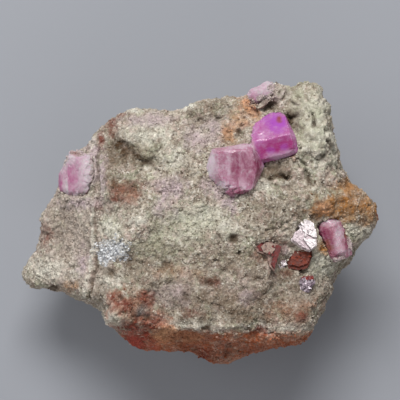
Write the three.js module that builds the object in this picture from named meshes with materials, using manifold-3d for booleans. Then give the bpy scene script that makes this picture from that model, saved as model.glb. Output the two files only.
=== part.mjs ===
// Cobaltocalcite in matrix: pink six-sided crystals and small mica books set in a pale granular rock.
// The specimen lies on its broken back with the crystals up. Millimetres, +Z up out of the crystal side,
// +X to the right-hand end of that side and +Y to its upper edge.
import * as THREE from "three";
import { ConvexGeometry } from "three/addons/geometries/ConvexGeometry.js";
import { ImprovedNoise } from "three/addons/math/ImprovedNoise.js";
import { mergeVertices } from "three/addons/utils/BufferGeometryUtils.js";
import Module from "manifold-3d";

const wasm = await Module();
wasm.setup();

// Driving dimensions of the rock
const CREST = 60; // height of the front face at its highest line
const LATTICE = 3.4; // spacing of the lattice that the broken surface is drawn on
const UNDERCUT = 0.34; // how fast the sides draw in below their widest level
const SHOULDER = 0.3; // how fast they draw in above it
const EDGE_ROUND = 2; // rounding where two broken faces meet
const CHIP = 13; // size of the chips that the surface is broken into
const CHIP_TILT = 0.24; // how far a chip leans from the face that it is on
const CHIP_BLEND = 0.25; // share of a chip over which it runs into the next one
const CALM_RIM = 11; // how far from the widest line the chips reach their full depth
const STEP_RUN = 1.8; // half the run of a ledge's step
const LEDGE_END = 3.5; // half the length over which a ledge dies out at each end
const LUMP = 7.5; // size of the lumps on the chips
const LUMP_RISE = 1.3; // height of those lumps
const GAP = 0.3; // clearance between a crystal and its socket
const CORNER_SPREAD = 1.5; // how much further a corner moves than a face when a crystal's socket is grown
const ROOT_SHARE = 0.55; // size of a crystal's root as a share of its rim
const ROOT_DEPTH = 11; // how far the root goes on below the rim

// The rock's widest line seen from above: x, y and the height at which it is widest
const OUTLINE = [
  [-26, 42.5, 48], [-7.5, 41, 50], [-2.5, 42.5, 50], [3, 45.5, 47], [13.5, 45.5, 46], [19, 47, 46],
  [25.5, 50.5, 46], [29, 50, 46], [32.5, 48.5, 46], [35.5, 50.5, 46], [40, 52, 46], [43.5, 50.5, 47],
  [46.5, 46, 48], [48, 39, 49], [50, 30, 48], [51.5, 21.5, 46], [56.5, 14, 45], [62.5, 8.5, 44],
  [65, 4.5, 42], [63.5, -3.5, 38], [58.5, -9.5, 33], [57.5, -14, 32], [50.5, -19.5, 33], [49.5, -24, 38],
  [41.5, -40, 42], [37.5, -44.5, 40], [23, -47.5, 34], [15, -49.5, 30], [12, -52, 28], [7.5, -53.5, 28],
  [1.5, -50.5, 30], [-3.5, -47.5, 32], [-19, -48.5, 32], [-23, -47, 32], [-33.5, -36.5, 36],
  [-37, -32.5, 36], [-47, -28, 32], [-51.5, -25.5, 29], [-63.5, -25, 26], [-68.5, -21.5, 25],
  [-68, -17.5, 25], [-60.5, -10, 27], [-58.5, -3.5, 28], [-59.5, 2.5, 29], [-53, 10, 31],
  [-52, 17, 33], [-49.5, 22, 35], [-46.5, 26, 36], [-42, 27, 38], [-36.5, 33.5, 42], [-30, 40, 46],
];

// Broken faces of the front: a point on each and its slope along x and y
const FRONT_FACES = [
  { at: [0, 4, CREST], slope: [-0.02, -0.17] }, // upper half, leaning back to the upper edge
  { at: [0, 4, CREST], slope: [0.01, 0.08] }, // lower half
  { at: [22, 0, CREST], slope: [-0.33, 0] }, // right-hand end
  { at: [-37.5, 0, 52], slope: [0.78, 0] }, // left-hand face behind the upright ridge
  { at: [0, -38.5, 55], slope: [0.15, 1.8] }, // stained underside below the lower edge
  { at: [-32.5, 30.5, 51], slope: [0.95, -0.75] }, // reddish facet at the upper left corner
];

// Broken faces of the back: a point on each and the way it faces
const BACK_FACES = [
  { at: [-54, -6, 10], faces: [-0.6, -0.1, -0.79] },
  { at: [-22, 30, 16], faces: [-0.42, 0.68, -0.6] },
  { at: [20, 40, 18], faces: [0.1, 0.82, -0.56] },
  { at: [46, 18, 14], faces: [0.78, 0.22, -0.58] },
  { at: [38, -28, 14], faces: [0.6, -0.55, -0.58] },
  { at: [4, -42, 14], faces: [-0.05, -0.82, -0.56] },
  { at: [-30, -30, 12], faces: [-0.4, -0.66, -0.62] },
];

// Humps and hollows of the front: centre, half-width along x and y, and rise
const RELIEF = [
  { at: [41, 37], reach: [12, 17], rise: 6.5 }, // grainy lobe at the upper right
  { at: [18, 25], reach: [15, 12], rise: -3.5 }, // seat of the joined crystals
  { at: [25, 42], reach: [4.5, 4], rise: -4.5 }, // dark cavity above them
  { at: [33.5, 35.5], reach: [4, 5], rise: -4.5 }, // dark cavity between them and the lobe
  { at: [50, 8], reach: [12, 7], rise: 4 }, // ochre block above the right-hand crystal
  { at: [58, -14.5], reach: [9, 7], rise: -15 }, // grey slope under the right-hand crystal
  { at: [28, -14], reach: [14, 9], rise: -2 }, // hollow that the mica books line
  { at: [-10, -13], reach: [24, 5], rise: -2 }, // long shallow hollow across the lower half
  { at: [-28, -35], reach: [7, 5], rise: 3 }, // pale knob at the lower left
];

// Ledges of the front: the step runs from one point to the other, drops on its lower side and heals over
// the reach
const LEDGES = [
  { from: [-31, 32], to: [-13, 19], drop: 5.5, reach: 15 }, // over the dark three-cornered recess
  { from: [42, 3], to: [62, 1], drop: 2.5, reach: 9 }, // under the ochre block
];

// Even crystals: the middle, the direction of the six-sided axis, its turn, and rings given by their
// distance along it and their radius
const RIGHT_CRYSTAL = {
  at: [48.3, -5.7, 48], axis: [0.41, -0.9, -0.1], turn: 14,
  rings: [[-7.8, 3.4], [-5.2, 5.2], [4.4, 5.4], [7.8, 3.8]],
};
const TOP_CRYSTAL = {
  at: [22.5, 46.4, 50.4], axis: [0.88, 0.46, -0.05], turn: 0,
  rings: [[-5.6, 2], [-3.4, 3.4], [3.6, 3.2], [5.6, 1.8]],
};

// Uneven crystals: a front face and the rim behind it, their corners measured along the axis and across it,
// how far each stands out of the middle, and how far the crystal leans over to the side
const PALE_CRYSTAL = {
  at: [12.6, 20.6, 54], axis: [-0.17, 0.98, 0.1], lean: 0, faceOut: 8, rimOut: 3,
  face: [[6.6, 5], [4.8, -6.6], [-2, -7.4], [-8.6, -4.4], [-9.2, 3.4], [-1, 6.2]],
  rim: [
    [7.4, 7], [2.2, 10.1], [-2.2, 10.3], [-8, 7], [-11.6, 2.4], [-11, -1.4], [-8.4, -6.4], [-2, -10.3],
    [2.3, -9.4], [7.4, -6.4],
  ],
};
const LEFT_CRYSTAL = {
  at: [-44.1, 17.6, 46], axis: [0.22, 0.97, 0.1], lean: 38, faceOut: 2.2, rimOut: 0,
  face: [[6.4, 0], [5.4, 3.4], [-2, 5.2], [-6.6, 4], [-6.4, -1.6], [-3.4, -4.4], [2, -5]],
  rim: [[9, 1], [7.4, 6], [-2, 8.6], [-8.6, 6.6], [-8.8, -2], [-5.6, -7], [1, -8.4], [8, -5.4]],
};

// The violet crystal grows out of the pale one. Its corners are measured from the middle of its front ridge:
// along its axis, up across its faces, and out of the rock
const VIOLET_AT = [27, 30.1, 61.2];
const VIOLET_AXIS = [0.973, 0.207, 0.1];
const VIOLET_CORNERS = [
  [4.1, 8.9, -7.3], [-0.6, 9.4, -7.7], [-7.7, 6.3, -5.1], [-9.4, 3.1, -2.4], // upper face
  [5.1, 0.2, 0], [-8.6, 0.2, 0], // front ridge
  [5.4, -6.2, -2], [-8.6, -6.4, -2.1], // lower ridge
  [6.7, -1, -2.4], [6.7, -7, -4.4], // bevel of the right-hand end
  [6.6, -8.4, -9], [-6.5, -8.8, -9.3], // foot
  [4.6, 7, -15], [4.6, -2, -18], [-4, 6, -15], [-6, -2, -18], // root
];

// Mica books: the middle of the top sheet, the way it faces, the thickness of a sheet, how far the book
// stands proud and the outline of each sheet from the lowest up
const MICA = {
  silver_mica: {
    at: [38.1, -3.4], faces: [0.12, 0.3, 0.95], sheet: 0.6, proud: 2.4,
    outlines: [
      [[-1.1, 6], [2.1, 4], [3.7, 2], [3.9, -1.8], [2.1, -6], [-2, -4.7], [-5.7, -1.8], [-2.8, 2.5]],
      [[-2.6, 3.4], [3.8, 0.8], [3.9, -1.8], [2.1, -6], [-2, -4.7], [-5.7, -1.8]],
      [[-4.2, 0.6], [3.8, -2.8], [2.1, -6], [-2, -4.7], [-5.7, -1.8]],
    ],
  },
  brown_mica: {
    at: [35.6, -13.2], faces: [-0.1, 0.2, 0.97], sheet: 0.8, proud: 2.5,
    outlines: [
      [[-3.9, 2.7], [0.4, 3.9], [3.9, 2.1], [3.6, -1.4], [0.4, -3.6], [-3.6, -2.1]],
      [[-3.2, 1.6], [0.2, 2.9], [2.4, 1.2], [1.6, -2], [-2.8, -1.7]],
    ],
  },
  red_mica: {
    at: [24.2, -7.6], faces: [0.1, 0.25, 0.96], sheet: 0.9, proud: 1.3,
    outlines: [
      [
        [-4.3, -0.2], [-2.4, 1.5], [0, 2.2], [2.7, 1.5], [5.4, -1], [3.6, -4.5], [3.3, -6.6], [2.6, -8.8],
        [1, -7.4], [-0.6, -3.4], [-3.8, -1.7],
      ],
      [[-1.8, -0.4], [-0.6, 1.1], [1.2, 0.9], [2.1, -0.6], [1.2, -2.2], [-0.8, -2.2]],
    ],
  },
  flake_mica: {
    at: [30.2, -14.2], faces: [0.2, 0.15, 0.96], sheet: 0.7, proud: 0.8,
    outlines: [[[-1.5, 0.8], [0.2, 1.9], [1.5, 0.6], [1.1, -1.5], [-1, -1.3]]],
  },
  violet_mica: {
    at: [38.2, -21.6], faces: [0.05, 0.1, 0.99], sheet: 0.7, proud: 1.1,
    outlines: [
      [[-2.4, 1.6], [-0.4, 2.7], [2, 2], [2.3, -1], [0.6, -2.8], [-1.9, -1.6]],
      [[-1.6, 1], [0.9, 1.5], [1.2, -0.8], [-0.8, -1.3]],
    ],
  },
};
const BOOK_ROOT = 2; // how far a mica book goes on below its lowest sheet

const noise = new ImprovedNoise();
const { clamp, degToRad, smoothstep } = THREE.MathUtils;

// Distance between two ways of measuring a solid, rounded where they meet
function roundedMax(a, b, round) {
  const overlap = Math.max(round - Math.abs(a - b), 0) / round;
  return Math.max(a, b) + overlap * overlap * round * 0.25;
}

// Distance outside the outline, less than zero inside, with the widest level at its nearest point
function measureOutline(x, y) {
  let nearest = Infinity;
  let level = 0;
  let inside = false;
  OUTLINE.forEach(([x0, y0, z0], i) => {
    const [x1, y1, z1] = OUTLINE[(i + 1) % OUTLINE.length];
    const length2 = (x1 - x0) ** 2 + (y1 - y0) ** 2;
    const along = clamp(((x - x0) * (x1 - x0) + (y - y0) * (y1 - y0)) / length2, 0, 1);
    const away = Math.hypot(x - x0 - along * (x1 - x0), y - y0 - along * (y1 - y0));
    if (away < nearest) {
      nearest = away;
      level = z0 + along * (z1 - z0);
    }
    if (y0 > y !== y1 > y && x < x0 + ((y - y0) * (x1 - x0)) / (y1 - y0)) inside = !inside;
  });
  return [inside ? -nearest : nearest, level];
}

// Rise of the humps, hollows and ledges at a point of the front
function frontRelief(x, y) {
  let rise = 0;
  for (const { at, reach, rise: peak } of RELIEF) {
    rise += peak * Math.exp(-(((x - at[0]) / reach[0]) ** 2) - ((y - at[1]) / reach[1]) ** 2);
  }
  for (const { from, to, drop, reach } of LEDGES) {
    const run = Math.hypot(to[0] - from[0], to[1] - from[1]);
    const ux = (to[0] - from[0]) / run;
    const uy = (to[1] - from[1]) / run;
    const along = (x - from[0]) * ux + (y - from[1]) * uy;
    const below = (x - from[0]) * uy - (y - from[1]) * ux;
    const start = smoothstep(along, -LEDGE_END, LEDGE_END);
    const finish = 1 - smoothstep(along, run - LEDGE_END, run + LEDGE_END);
    const step = smoothstep(below, -STEP_RUN, STEP_RUN) * Math.max(0, 1 - below / reach);
    rise -= drop * start * finish * step;
  }
  return rise;
}

// A repeatable number from -1 to 1 for a lattice point
function scatter(i, j, k, channel) {
  const wave = Math.sin(i * 127.1 + j * 311.7 + k * 74.7 + channel * 53.9) * 43758.5453;
  return 2 * (wave - Math.floor(wave)) - 1;
}

// Depth of the flat chips: each point belongs to its nearest chip, and each chip leans its own way
function chipDepth(p) {
  const cell = p.clone().divideScalar(CHIP);
  const base = cell.clone().floor();
  let first = Infinity;
  let second = Infinity;
  let lean = 0;
  let nextLean = 0;
  const corner = new THREE.Vector3();
  for (let n = 0; n < 27; n++) {
    const i = base.x + (n % 3) - 1;
    const j = base.y + (Math.floor(n / 3) % 3) - 1;
    const k = base.z + Math.floor(n / 9) - 1;
    corner.set(i + 0.5, j + 0.5, k + 0.5);
    corner.x += 0.45 * scatter(i, j, k, 0);
    corner.y += 0.45 * scatter(i, j, k, 1);
    corner.z += 0.45 * scatter(i, j, k, 2);
    const away = cell.distanceTo(corner);
    if (away >= second) continue;
    corner.subVectors(cell, corner);
    const across = corner.x * scatter(i, j, k, 3) + corner.y * scatter(i, j, k, 4);
    const tilt = across + corner.z * scatter(i, j, k, 5);
    if (away < first) {
      [second, nextLean] = [first, lean];
      [first, lean] = [away, tilt];
    } else {
      [second, nextLean] = [away, tilt];
    }
  }
  const share = smoothstep(second - first, 0, CHIP_BLEND);
  return CHIP * CHIP_TILT * (lean * (0.5 + 0.5 * share) + nextLean * (0.5 - 0.5 * share));
}

// The rock as a distance: less than zero inside it
function rockDistance(p) {
  const [away, level] = measureOutline(p.x, p.y);
  let d = away + UNDERCUT * Math.max(0, level - p.z) + SHOULDER * Math.max(0, p.z - level);
  const rise = frontRelief(p.x, p.y);
  for (const { at, slope } of FRONT_FACES) {
    const top = at[2] + slope[0] * (p.x - at[0]) + slope[1] * (p.y - at[1]) + rise;
    d = roundedMax(d, (p.z - top) / Math.hypot(1, slope[0], slope[1]), EDGE_ROUND);
  }
  for (const { at, faces } of BACK_FACES) {
    const out = (p.x - at[0]) * faces[0] + (p.y - at[1]) * faces[1] + (p.z - at[2]) * faces[2];
    d = roundedMax(d, out, EDGE_ROUND);
  }
  const lumps = noise.noise(p.x / LUMP, p.y / LUMP, p.z / LUMP) * LUMP_RISE;
  const calm = smoothstep(Math.hypot(away, (p.z - level) / 2), 0, CALM_RIM);
  return Math.max(d + chipDepth(p) * calm + lumps, -LATTICE - p.z);
}

// Height of the rock's front at a point
function frontHeight(x, y) {
  const p = new THREE.Vector3(x, y, CREST + 10);
  while (rockDistance(p) > 0) p.z -= 0.1;
  return p.z;
}

// Fills the lattice points across which two solid points meet corner to corner, so that the surface never
// touches itself
function closeCornerGaps(values, strides) {
  const last = values.length - 1;
  let open = true;
  while (open) {
    open = false;
    for (let n = 0; n < values.length; n++) {
      for (let axis = 0; axis < 3; axis++) {
        const [u, v] = [strides[(axis + 1) % 3], strides[(axis + 2) % 3]];
        if (n + u + v > last) continue;
        const [a, b, c, d] = [n, n + u, n + v, n + u + v];
        if (values[a] < 0 !== values[d] < 0 || values[b] < 0 !== values[c] < 0) continue;
        if (values[a] < 0 === values[b] < 0) continue;
        values[values[a] < 0 ? b : a] = -0.1 * LATTICE;
        open = true;
      }
    }
  }
}

// A closed mesh of the surface where a distance is zero: one corner in each lattice cell that the surface
// crosses, and one four-sided face round each lattice edge that it crosses
function drawSurface(distance, low, size) {
  const counts = size.map((length) => Math.ceil(length / LATTICE) + 1);
  const strides = [1, counts[0], counts[0] * counts[1]];
  const values = new Float64Array(counts[0] * counts[1] * counts[2]);
  const place = (n) => strides.map((stride, axis) => Math.floor(n / stride) % counts[axis]);
  const point = new THREE.Vector3();
  values.forEach((_, n) => {
    const cell = place(n);
    values[n] = distance(point.fromArray(cell.map((c, axis) => low[axis] + c * LATTICE)));
  });

  closeCornerGaps(values, strides);

  const corners = [];
  const cornerOf = new Map();
  const cellCorner = (n) => {
    if (cornerOf.has(n)) return cornerOf.get(n);
    const sum = [0, 0, 0];
    let crossings = 0;
    for (let axis = 0; axis < 3; axis++) {
      const [u, v] = [(axis + 1) % 3, (axis + 2) % 3];
      for (let side = 0; side < 4; side++) {
        const start = n + (side & 1) * strides[u] + (side >> 1) * strides[v];
        const [a, b] = [values[start], values[start + strides[axis]]];
        if (a < 0 === b < 0) continue;
        sum[axis] += a / (a - b);
        sum[u] += side & 1;
        sum[v] += side >> 1;
        crossings++;
      }
    }
    const cell = place(n);
    corners.push(...sum.map((s, axis) => low[axis] + (cell[axis] + s / crossings) * LATTICE));
    cornerOf.set(n, corners.length / 3 - 1);
    return corners.length / 3 - 1;
  };

  const triangles = [];
  values.forEach((value, n) => {
    const cell = place(n);
    for (let axis = 0; axis < 3; axis++) {
      if (cell[axis] + 1 >= counts[axis]) continue;
      const next = values[n + strides[axis]];
      if (value < 0 === next < 0) continue;
      const [u, v] = [strides[(axis + 1) % 3], strides[(axis + 2) % 3]];
      const ring = [n - u - v, n - v, n, n - u].map(cellCorner);
      if (value >= 0) ring.reverse();
      triangles.push(ring[0], ring[1], ring[2], ring[0], ring[2], ring[3]);
    }
  });
  const geometry = new THREE.BufferGeometry();
  geometry.setAttribute("position", new THREE.Float32BufferAttribute(corners, 3));
  geometry.setIndex(triangles);
  return geometry;
}

// A solid from a closed geometry, for cutting and joining
function toSolid(geometry) {
  const bare = geometry.clone();
  bare.deleteAttribute("normal");
  bare.deleteAttribute("uv");
  const merged = mergeVertices(bare, 1e-4);
  const vertProperties = new Float32Array(merged.attributes.position.array);
  const triVerts = new Uint32Array(merged.index.array);
  return new wasm.Manifold(new wasm.Mesh({ numProp: 3, vertProperties, triVerts }));
}

function toGeometry(solid) {
  const { vertProperties, triVerts } = solid.getMesh();
  const geometry = new THREE.BufferGeometry();
  geometry.setAttribute("position", new THREE.BufferAttribute(vertProperties, 3));
  geometry.setIndex(new THREE.BufferAttribute(triVerts, 1));
  return geometry.toNonIndexed();
}

// Turns points measured along, across and out of the rock into their place on it
function placePoints(points, at, along, lean = 0) {
  const right = new THREE.Vector3(...along).normalize();
  const up = new THREE.Vector3(0, 0, 1).cross(right).normalize();
  up.applyAxisAngle(right, -degToRad(lean));
  const place = new THREE.Matrix4().makeBasis(right, up, right.clone().cross(up)).setPosition(...at);
  return points.map((point) => new THREE.Vector3(...point).applyMatrix4(place));
}

// The solid that wraps a set of corners, grown by a margin for its socket
function wrappedSolid(points, margin) {
  const middle = new THREE.Box3().setFromPoints(points).getCenter(new THREE.Vector3());
  points.forEach((point) => point.add(point.clone().sub(middle).setLength(margin * CORNER_SPREAD)));
  return toSolid(new ConvexGeometry(points));
}

// An even six-sided crystal, grown by a margin for its socket
function crystalSolid({ at, axis, turn, rings }, margin = 0) {
  const points = [];
  rings.forEach(([along, radius]) => {
    for (let corner = 0; corner < 6; corner++) {
      const angle = degToRad(turn + corner * 60);
      const reach = radius + margin * CORNER_SPREAD;
      points.push([along + Math.sign(along) * margin, reach * Math.cos(angle), reach * Math.sin(angle)]);
    }
  });
  return toSolid(new ConvexGeometry(placePoints(points, at, axis)));
}

// An uneven crystal: its front face, its rim and a root that narrows into the rock
function facedSolid({ at, axis, lean, face, faceOut, rim, rimOut }, margin = 0) {
  const rootOut = rimOut - ROOT_DEPTH;
  const points = [
    ...face.map(([along, across]) => [along, across, faceOut]),
    ...rim.map(([along, across]) => [along, across, rimOut]),
    ...rim.map(([along, across]) => [along * ROOT_SHARE, across * ROOT_SHARE, rootOut]),
  ];
  return wrappedSolid(placePoints(points, at, axis, lean), margin);
}

// The violet crystal
function violetSolid(margin = 0) {
  return wrappedSolid(placePoints(VIOLET_CORNERS, VIOLET_AT, VIOLET_AXIS), margin);
}

// A mica book: sheets stacked on a root that goes down into the rock
function micaSolid({ at, faces, sheet, proud, outlines }, margin = 0) {
  const out = new THREE.Vector3(...faces).normalize();
  const top = new THREE.Vector3(at[0], at[1], frontHeight(at[0], at[1]) + proud);
  const lowest = -sheet * outlines.length - BOOK_ROOT;
  const turn = new THREE.Quaternion().setFromUnitVectors(new THREE.Vector3(0, 0, 1), out);
  const sheets = outlines.map((outline, level) => {
    const corners = outline.map((corner) => new THREE.Vector2(...corner));
    corners.forEach((corner) => corner.setLength(corner.length() + margin));
    const height = sheet * (level + 1) + BOOK_ROOT + 2 * margin;
    const slab = new THREE.ExtrudeGeometry(new THREE.Shape(corners), { depth: height, bevelEnabled: false });
    slab.translate(0, 0, lowest - margin);
    slab.applyQuaternion(turn);
    slab.translate(top.x, top.y, top.z);
    return toSolid(slab);
  });
  return sheets.reduce((book, slab) => book.add(slab));
}

// The rock, cut flat where it rests and hollowed where the crystals and the mica sit
function matrixSolid(sockets) {
  const low = [-75, -63, -2 * LATTICE];
  const size = [148, 124, CREST + 12 + 2 * LATTICE];
  const rough = toSolid(drawSurface(rockDistance, low, size));
  const ground = new THREE.BoxGeometry(2 * size[0], 2 * size[1], CREST).translate(0, 0, -CREST / 2);
  const rock = sockets.reduce((left, socket) => left.subtract(socket), rough.subtract(toSolid(ground)));
  return rock.decompose().reduce((largest, piece) => (piece.volume() > largest.volume() ? piece : largest));
}

const FINISHES = {
  matrix: new THREE.MeshStandardMaterial({ color: 0xa0968a, roughness: 0.9, metalness: 0 }),
  crystal_pair: new THREE.MeshStandardMaterial({ color: 0xb4709c, roughness: 0.25, metalness: 0 }),
  right_crystal: new THREE.MeshStandardMaterial({ color: 0xa0737c, roughness: 0.35, metalness: 0 }),
  left_crystal: new THREE.MeshStandardMaterial({ color: 0xb3a0a7, roughness: 0.45, metalness: 0 }),
  top_crystal: new THREE.MeshStandardMaterial({ color: 0xb89ca6, roughness: 0.45, metalness: 0 }),
  silver_mica: new THREE.MeshStandardMaterial({ color: 0xc5b6b3, roughness: 0.2, metalness: 0 }),
  brown_mica: new THREE.MeshStandardMaterial({ color: 0x714337, roughness: 0.3, metalness: 0 }),
  red_mica: new THREE.MeshStandardMaterial({ color: 0x7d4034, roughness: 0.3, metalness: 0 }),
  flake_mica: new THREE.MeshStandardMaterial({ color: 0xcabdb8, roughness: 0.2, metalness: 0 }),
  violet_mica: new THREE.MeshStandardMaterial({ color: 0xb59aa8, roughness: 0.25, metalness: 0 }),
};

const crystals = {
  crystal_pair: (margin) => facedSolid(PALE_CRYSTAL, margin).add(violetSolid(margin)),
  right_crystal: (margin) => crystalSolid(RIGHT_CRYSTAL, margin),
  left_crystal: (margin) => facedSolid(LEFT_CRYSTAL, margin),
  top_crystal: (margin) => crystalSolid(TOP_CRYSTAL, margin),
};
for (const [name, book] of Object.entries(MICA)) crystals[name] = (margin) => micaSolid(book, margin);

const specimen = new THREE.Group();
const sockets = Object.values(crystals).map((make) => make(GAP));
specimen.add(new THREE.Mesh(toGeometry(matrixSolid(sockets)), FINISHES.matrix));
specimen.children[0].name = "matrix";
for (const [name, make] of Object.entries(crystals)) {
  const mesh = new THREE.Mesh(toGeometry(make(0)), FINISHES[name]);
  mesh.name = name;
  specimen.add(mesh);
}

// The origin is under the middle of the specimen, on the surface that it rests on
const middle = new THREE.Box3().setFromObject(specimen).getCenter(new THREE.Vector3());
specimen.position.set(-middle.x, -middle.y, 0);

export default specimen;
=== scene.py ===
"""Pink crystals and mica in a pale granular rock: the looks of the specimen, in metres."""

import bmesh
import bpy
import numpy as np
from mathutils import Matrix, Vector
from mathutils.bvhtree import BVHTree


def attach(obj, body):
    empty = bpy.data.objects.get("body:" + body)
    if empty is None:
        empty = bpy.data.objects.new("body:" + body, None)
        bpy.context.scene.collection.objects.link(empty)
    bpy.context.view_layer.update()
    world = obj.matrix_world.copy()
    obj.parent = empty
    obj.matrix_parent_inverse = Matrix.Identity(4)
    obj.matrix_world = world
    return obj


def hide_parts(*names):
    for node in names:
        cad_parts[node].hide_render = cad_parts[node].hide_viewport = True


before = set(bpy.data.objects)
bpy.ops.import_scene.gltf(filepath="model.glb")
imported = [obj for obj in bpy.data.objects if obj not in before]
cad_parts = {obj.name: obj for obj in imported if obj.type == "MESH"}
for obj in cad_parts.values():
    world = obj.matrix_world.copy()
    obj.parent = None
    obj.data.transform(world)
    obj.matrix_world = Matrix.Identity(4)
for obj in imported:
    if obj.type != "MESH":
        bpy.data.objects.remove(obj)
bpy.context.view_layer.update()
MM = 0.001
random = np.random.default_rng(7)

# The photograph's view: straight down on the specimen, which lies on its back
PHOTO_SIDE = 400  # pixels
PIXEL = 0.37 * MM  # size of a pixel at the level of the rock's widest line
WIDEST_LEVEL = 30 * MM
CAMERA_HEIGHT = 600 * MM
LOOK_AT = (0.94 * MM, 8.52 * MM)  # the point under the middle of the picture
SENSOR = 36.0  # millimetres, as cameras give it

# How finely the pieces are meshed, and how many rounds of smoothing they get
ROCK_VOXEL = 0.46 * MM
ROCK_TRIANGLES = 192_000
CRYSTAL_VOXEL = 0.21 * MM
WELD = 0.001 * MM  # corners of a solid closer than this are one
ROCK_ROUNDS = 10  # to take the solid's facets out of the rock
CRYSTAL_ROUNDS = 2  # to take the mesh's own steps out of a crystal
SOFT_ROUNDS = 140  # to round off a crystal's soft zones
EDGE_ROUNDS = 10  # to find a crystal's edges, which move most
NARROW_CAVITY = (12, 0.6 * MM)  # to find the rock's pits, with the depth at which they are fully darkened by grime and painted shade
WIDE_CAVITY = (50, 1.1 * MM)  # the same for wide hollows, from the narrow ones on

# Which parts of the rock are its base, its front and its back
REST_LEVEL = 0.15 * MM  # the rock rests on what lies below this
SIDEWAYS = 0.05  # a face that rises less than this looks sideways or down
FRONT_FROM, FRONT_RUN = -0.15, 0.3  # how much a face rises where the front begins, and until it is all front
BEHIND_CRUMBLY = 0.35  # how crumbly the rock is behind the front

# How the rock meets the pieces set in it
SEAM_REACH = 1.1 * MM  # rock within this distance of a piece is calmer
SEAM_STILL = 0.45  # and within this share of it the rock has no relief
SEAM_CLOSED = 0.6  # and within this share it is drawn right up to the piece
SEAM_LEAST = 0.05 * MM  # the least distance that the overlap is worked out from
SEAM_OVERLAP = 0.12 * MM  # how far the rock closes over the piece's side
BANK_REACH = 3.5 * MM  # rock within this distance of a crystal is banked up against it
BANK_CURVE = 1.5  # above 1, a bank is steepest against its crystal
BANK_MEAN = 0.75  # mean share of its height that an uneven bank has
BANKS = {
    "violet_pair": 2.2 * MM, "rose_crystal": 1.8 * MM, "lilac_crystal": 4.3 * MM, "edge_crystal": 4.4 * MM,
}

# Where things placed by the photograph end, in half-widths from their middles
PATCH_END = 1.4
PIT_END = 1.25
CRACK_END = 1.4
STAIN_LINE_END = 1.5
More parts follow.
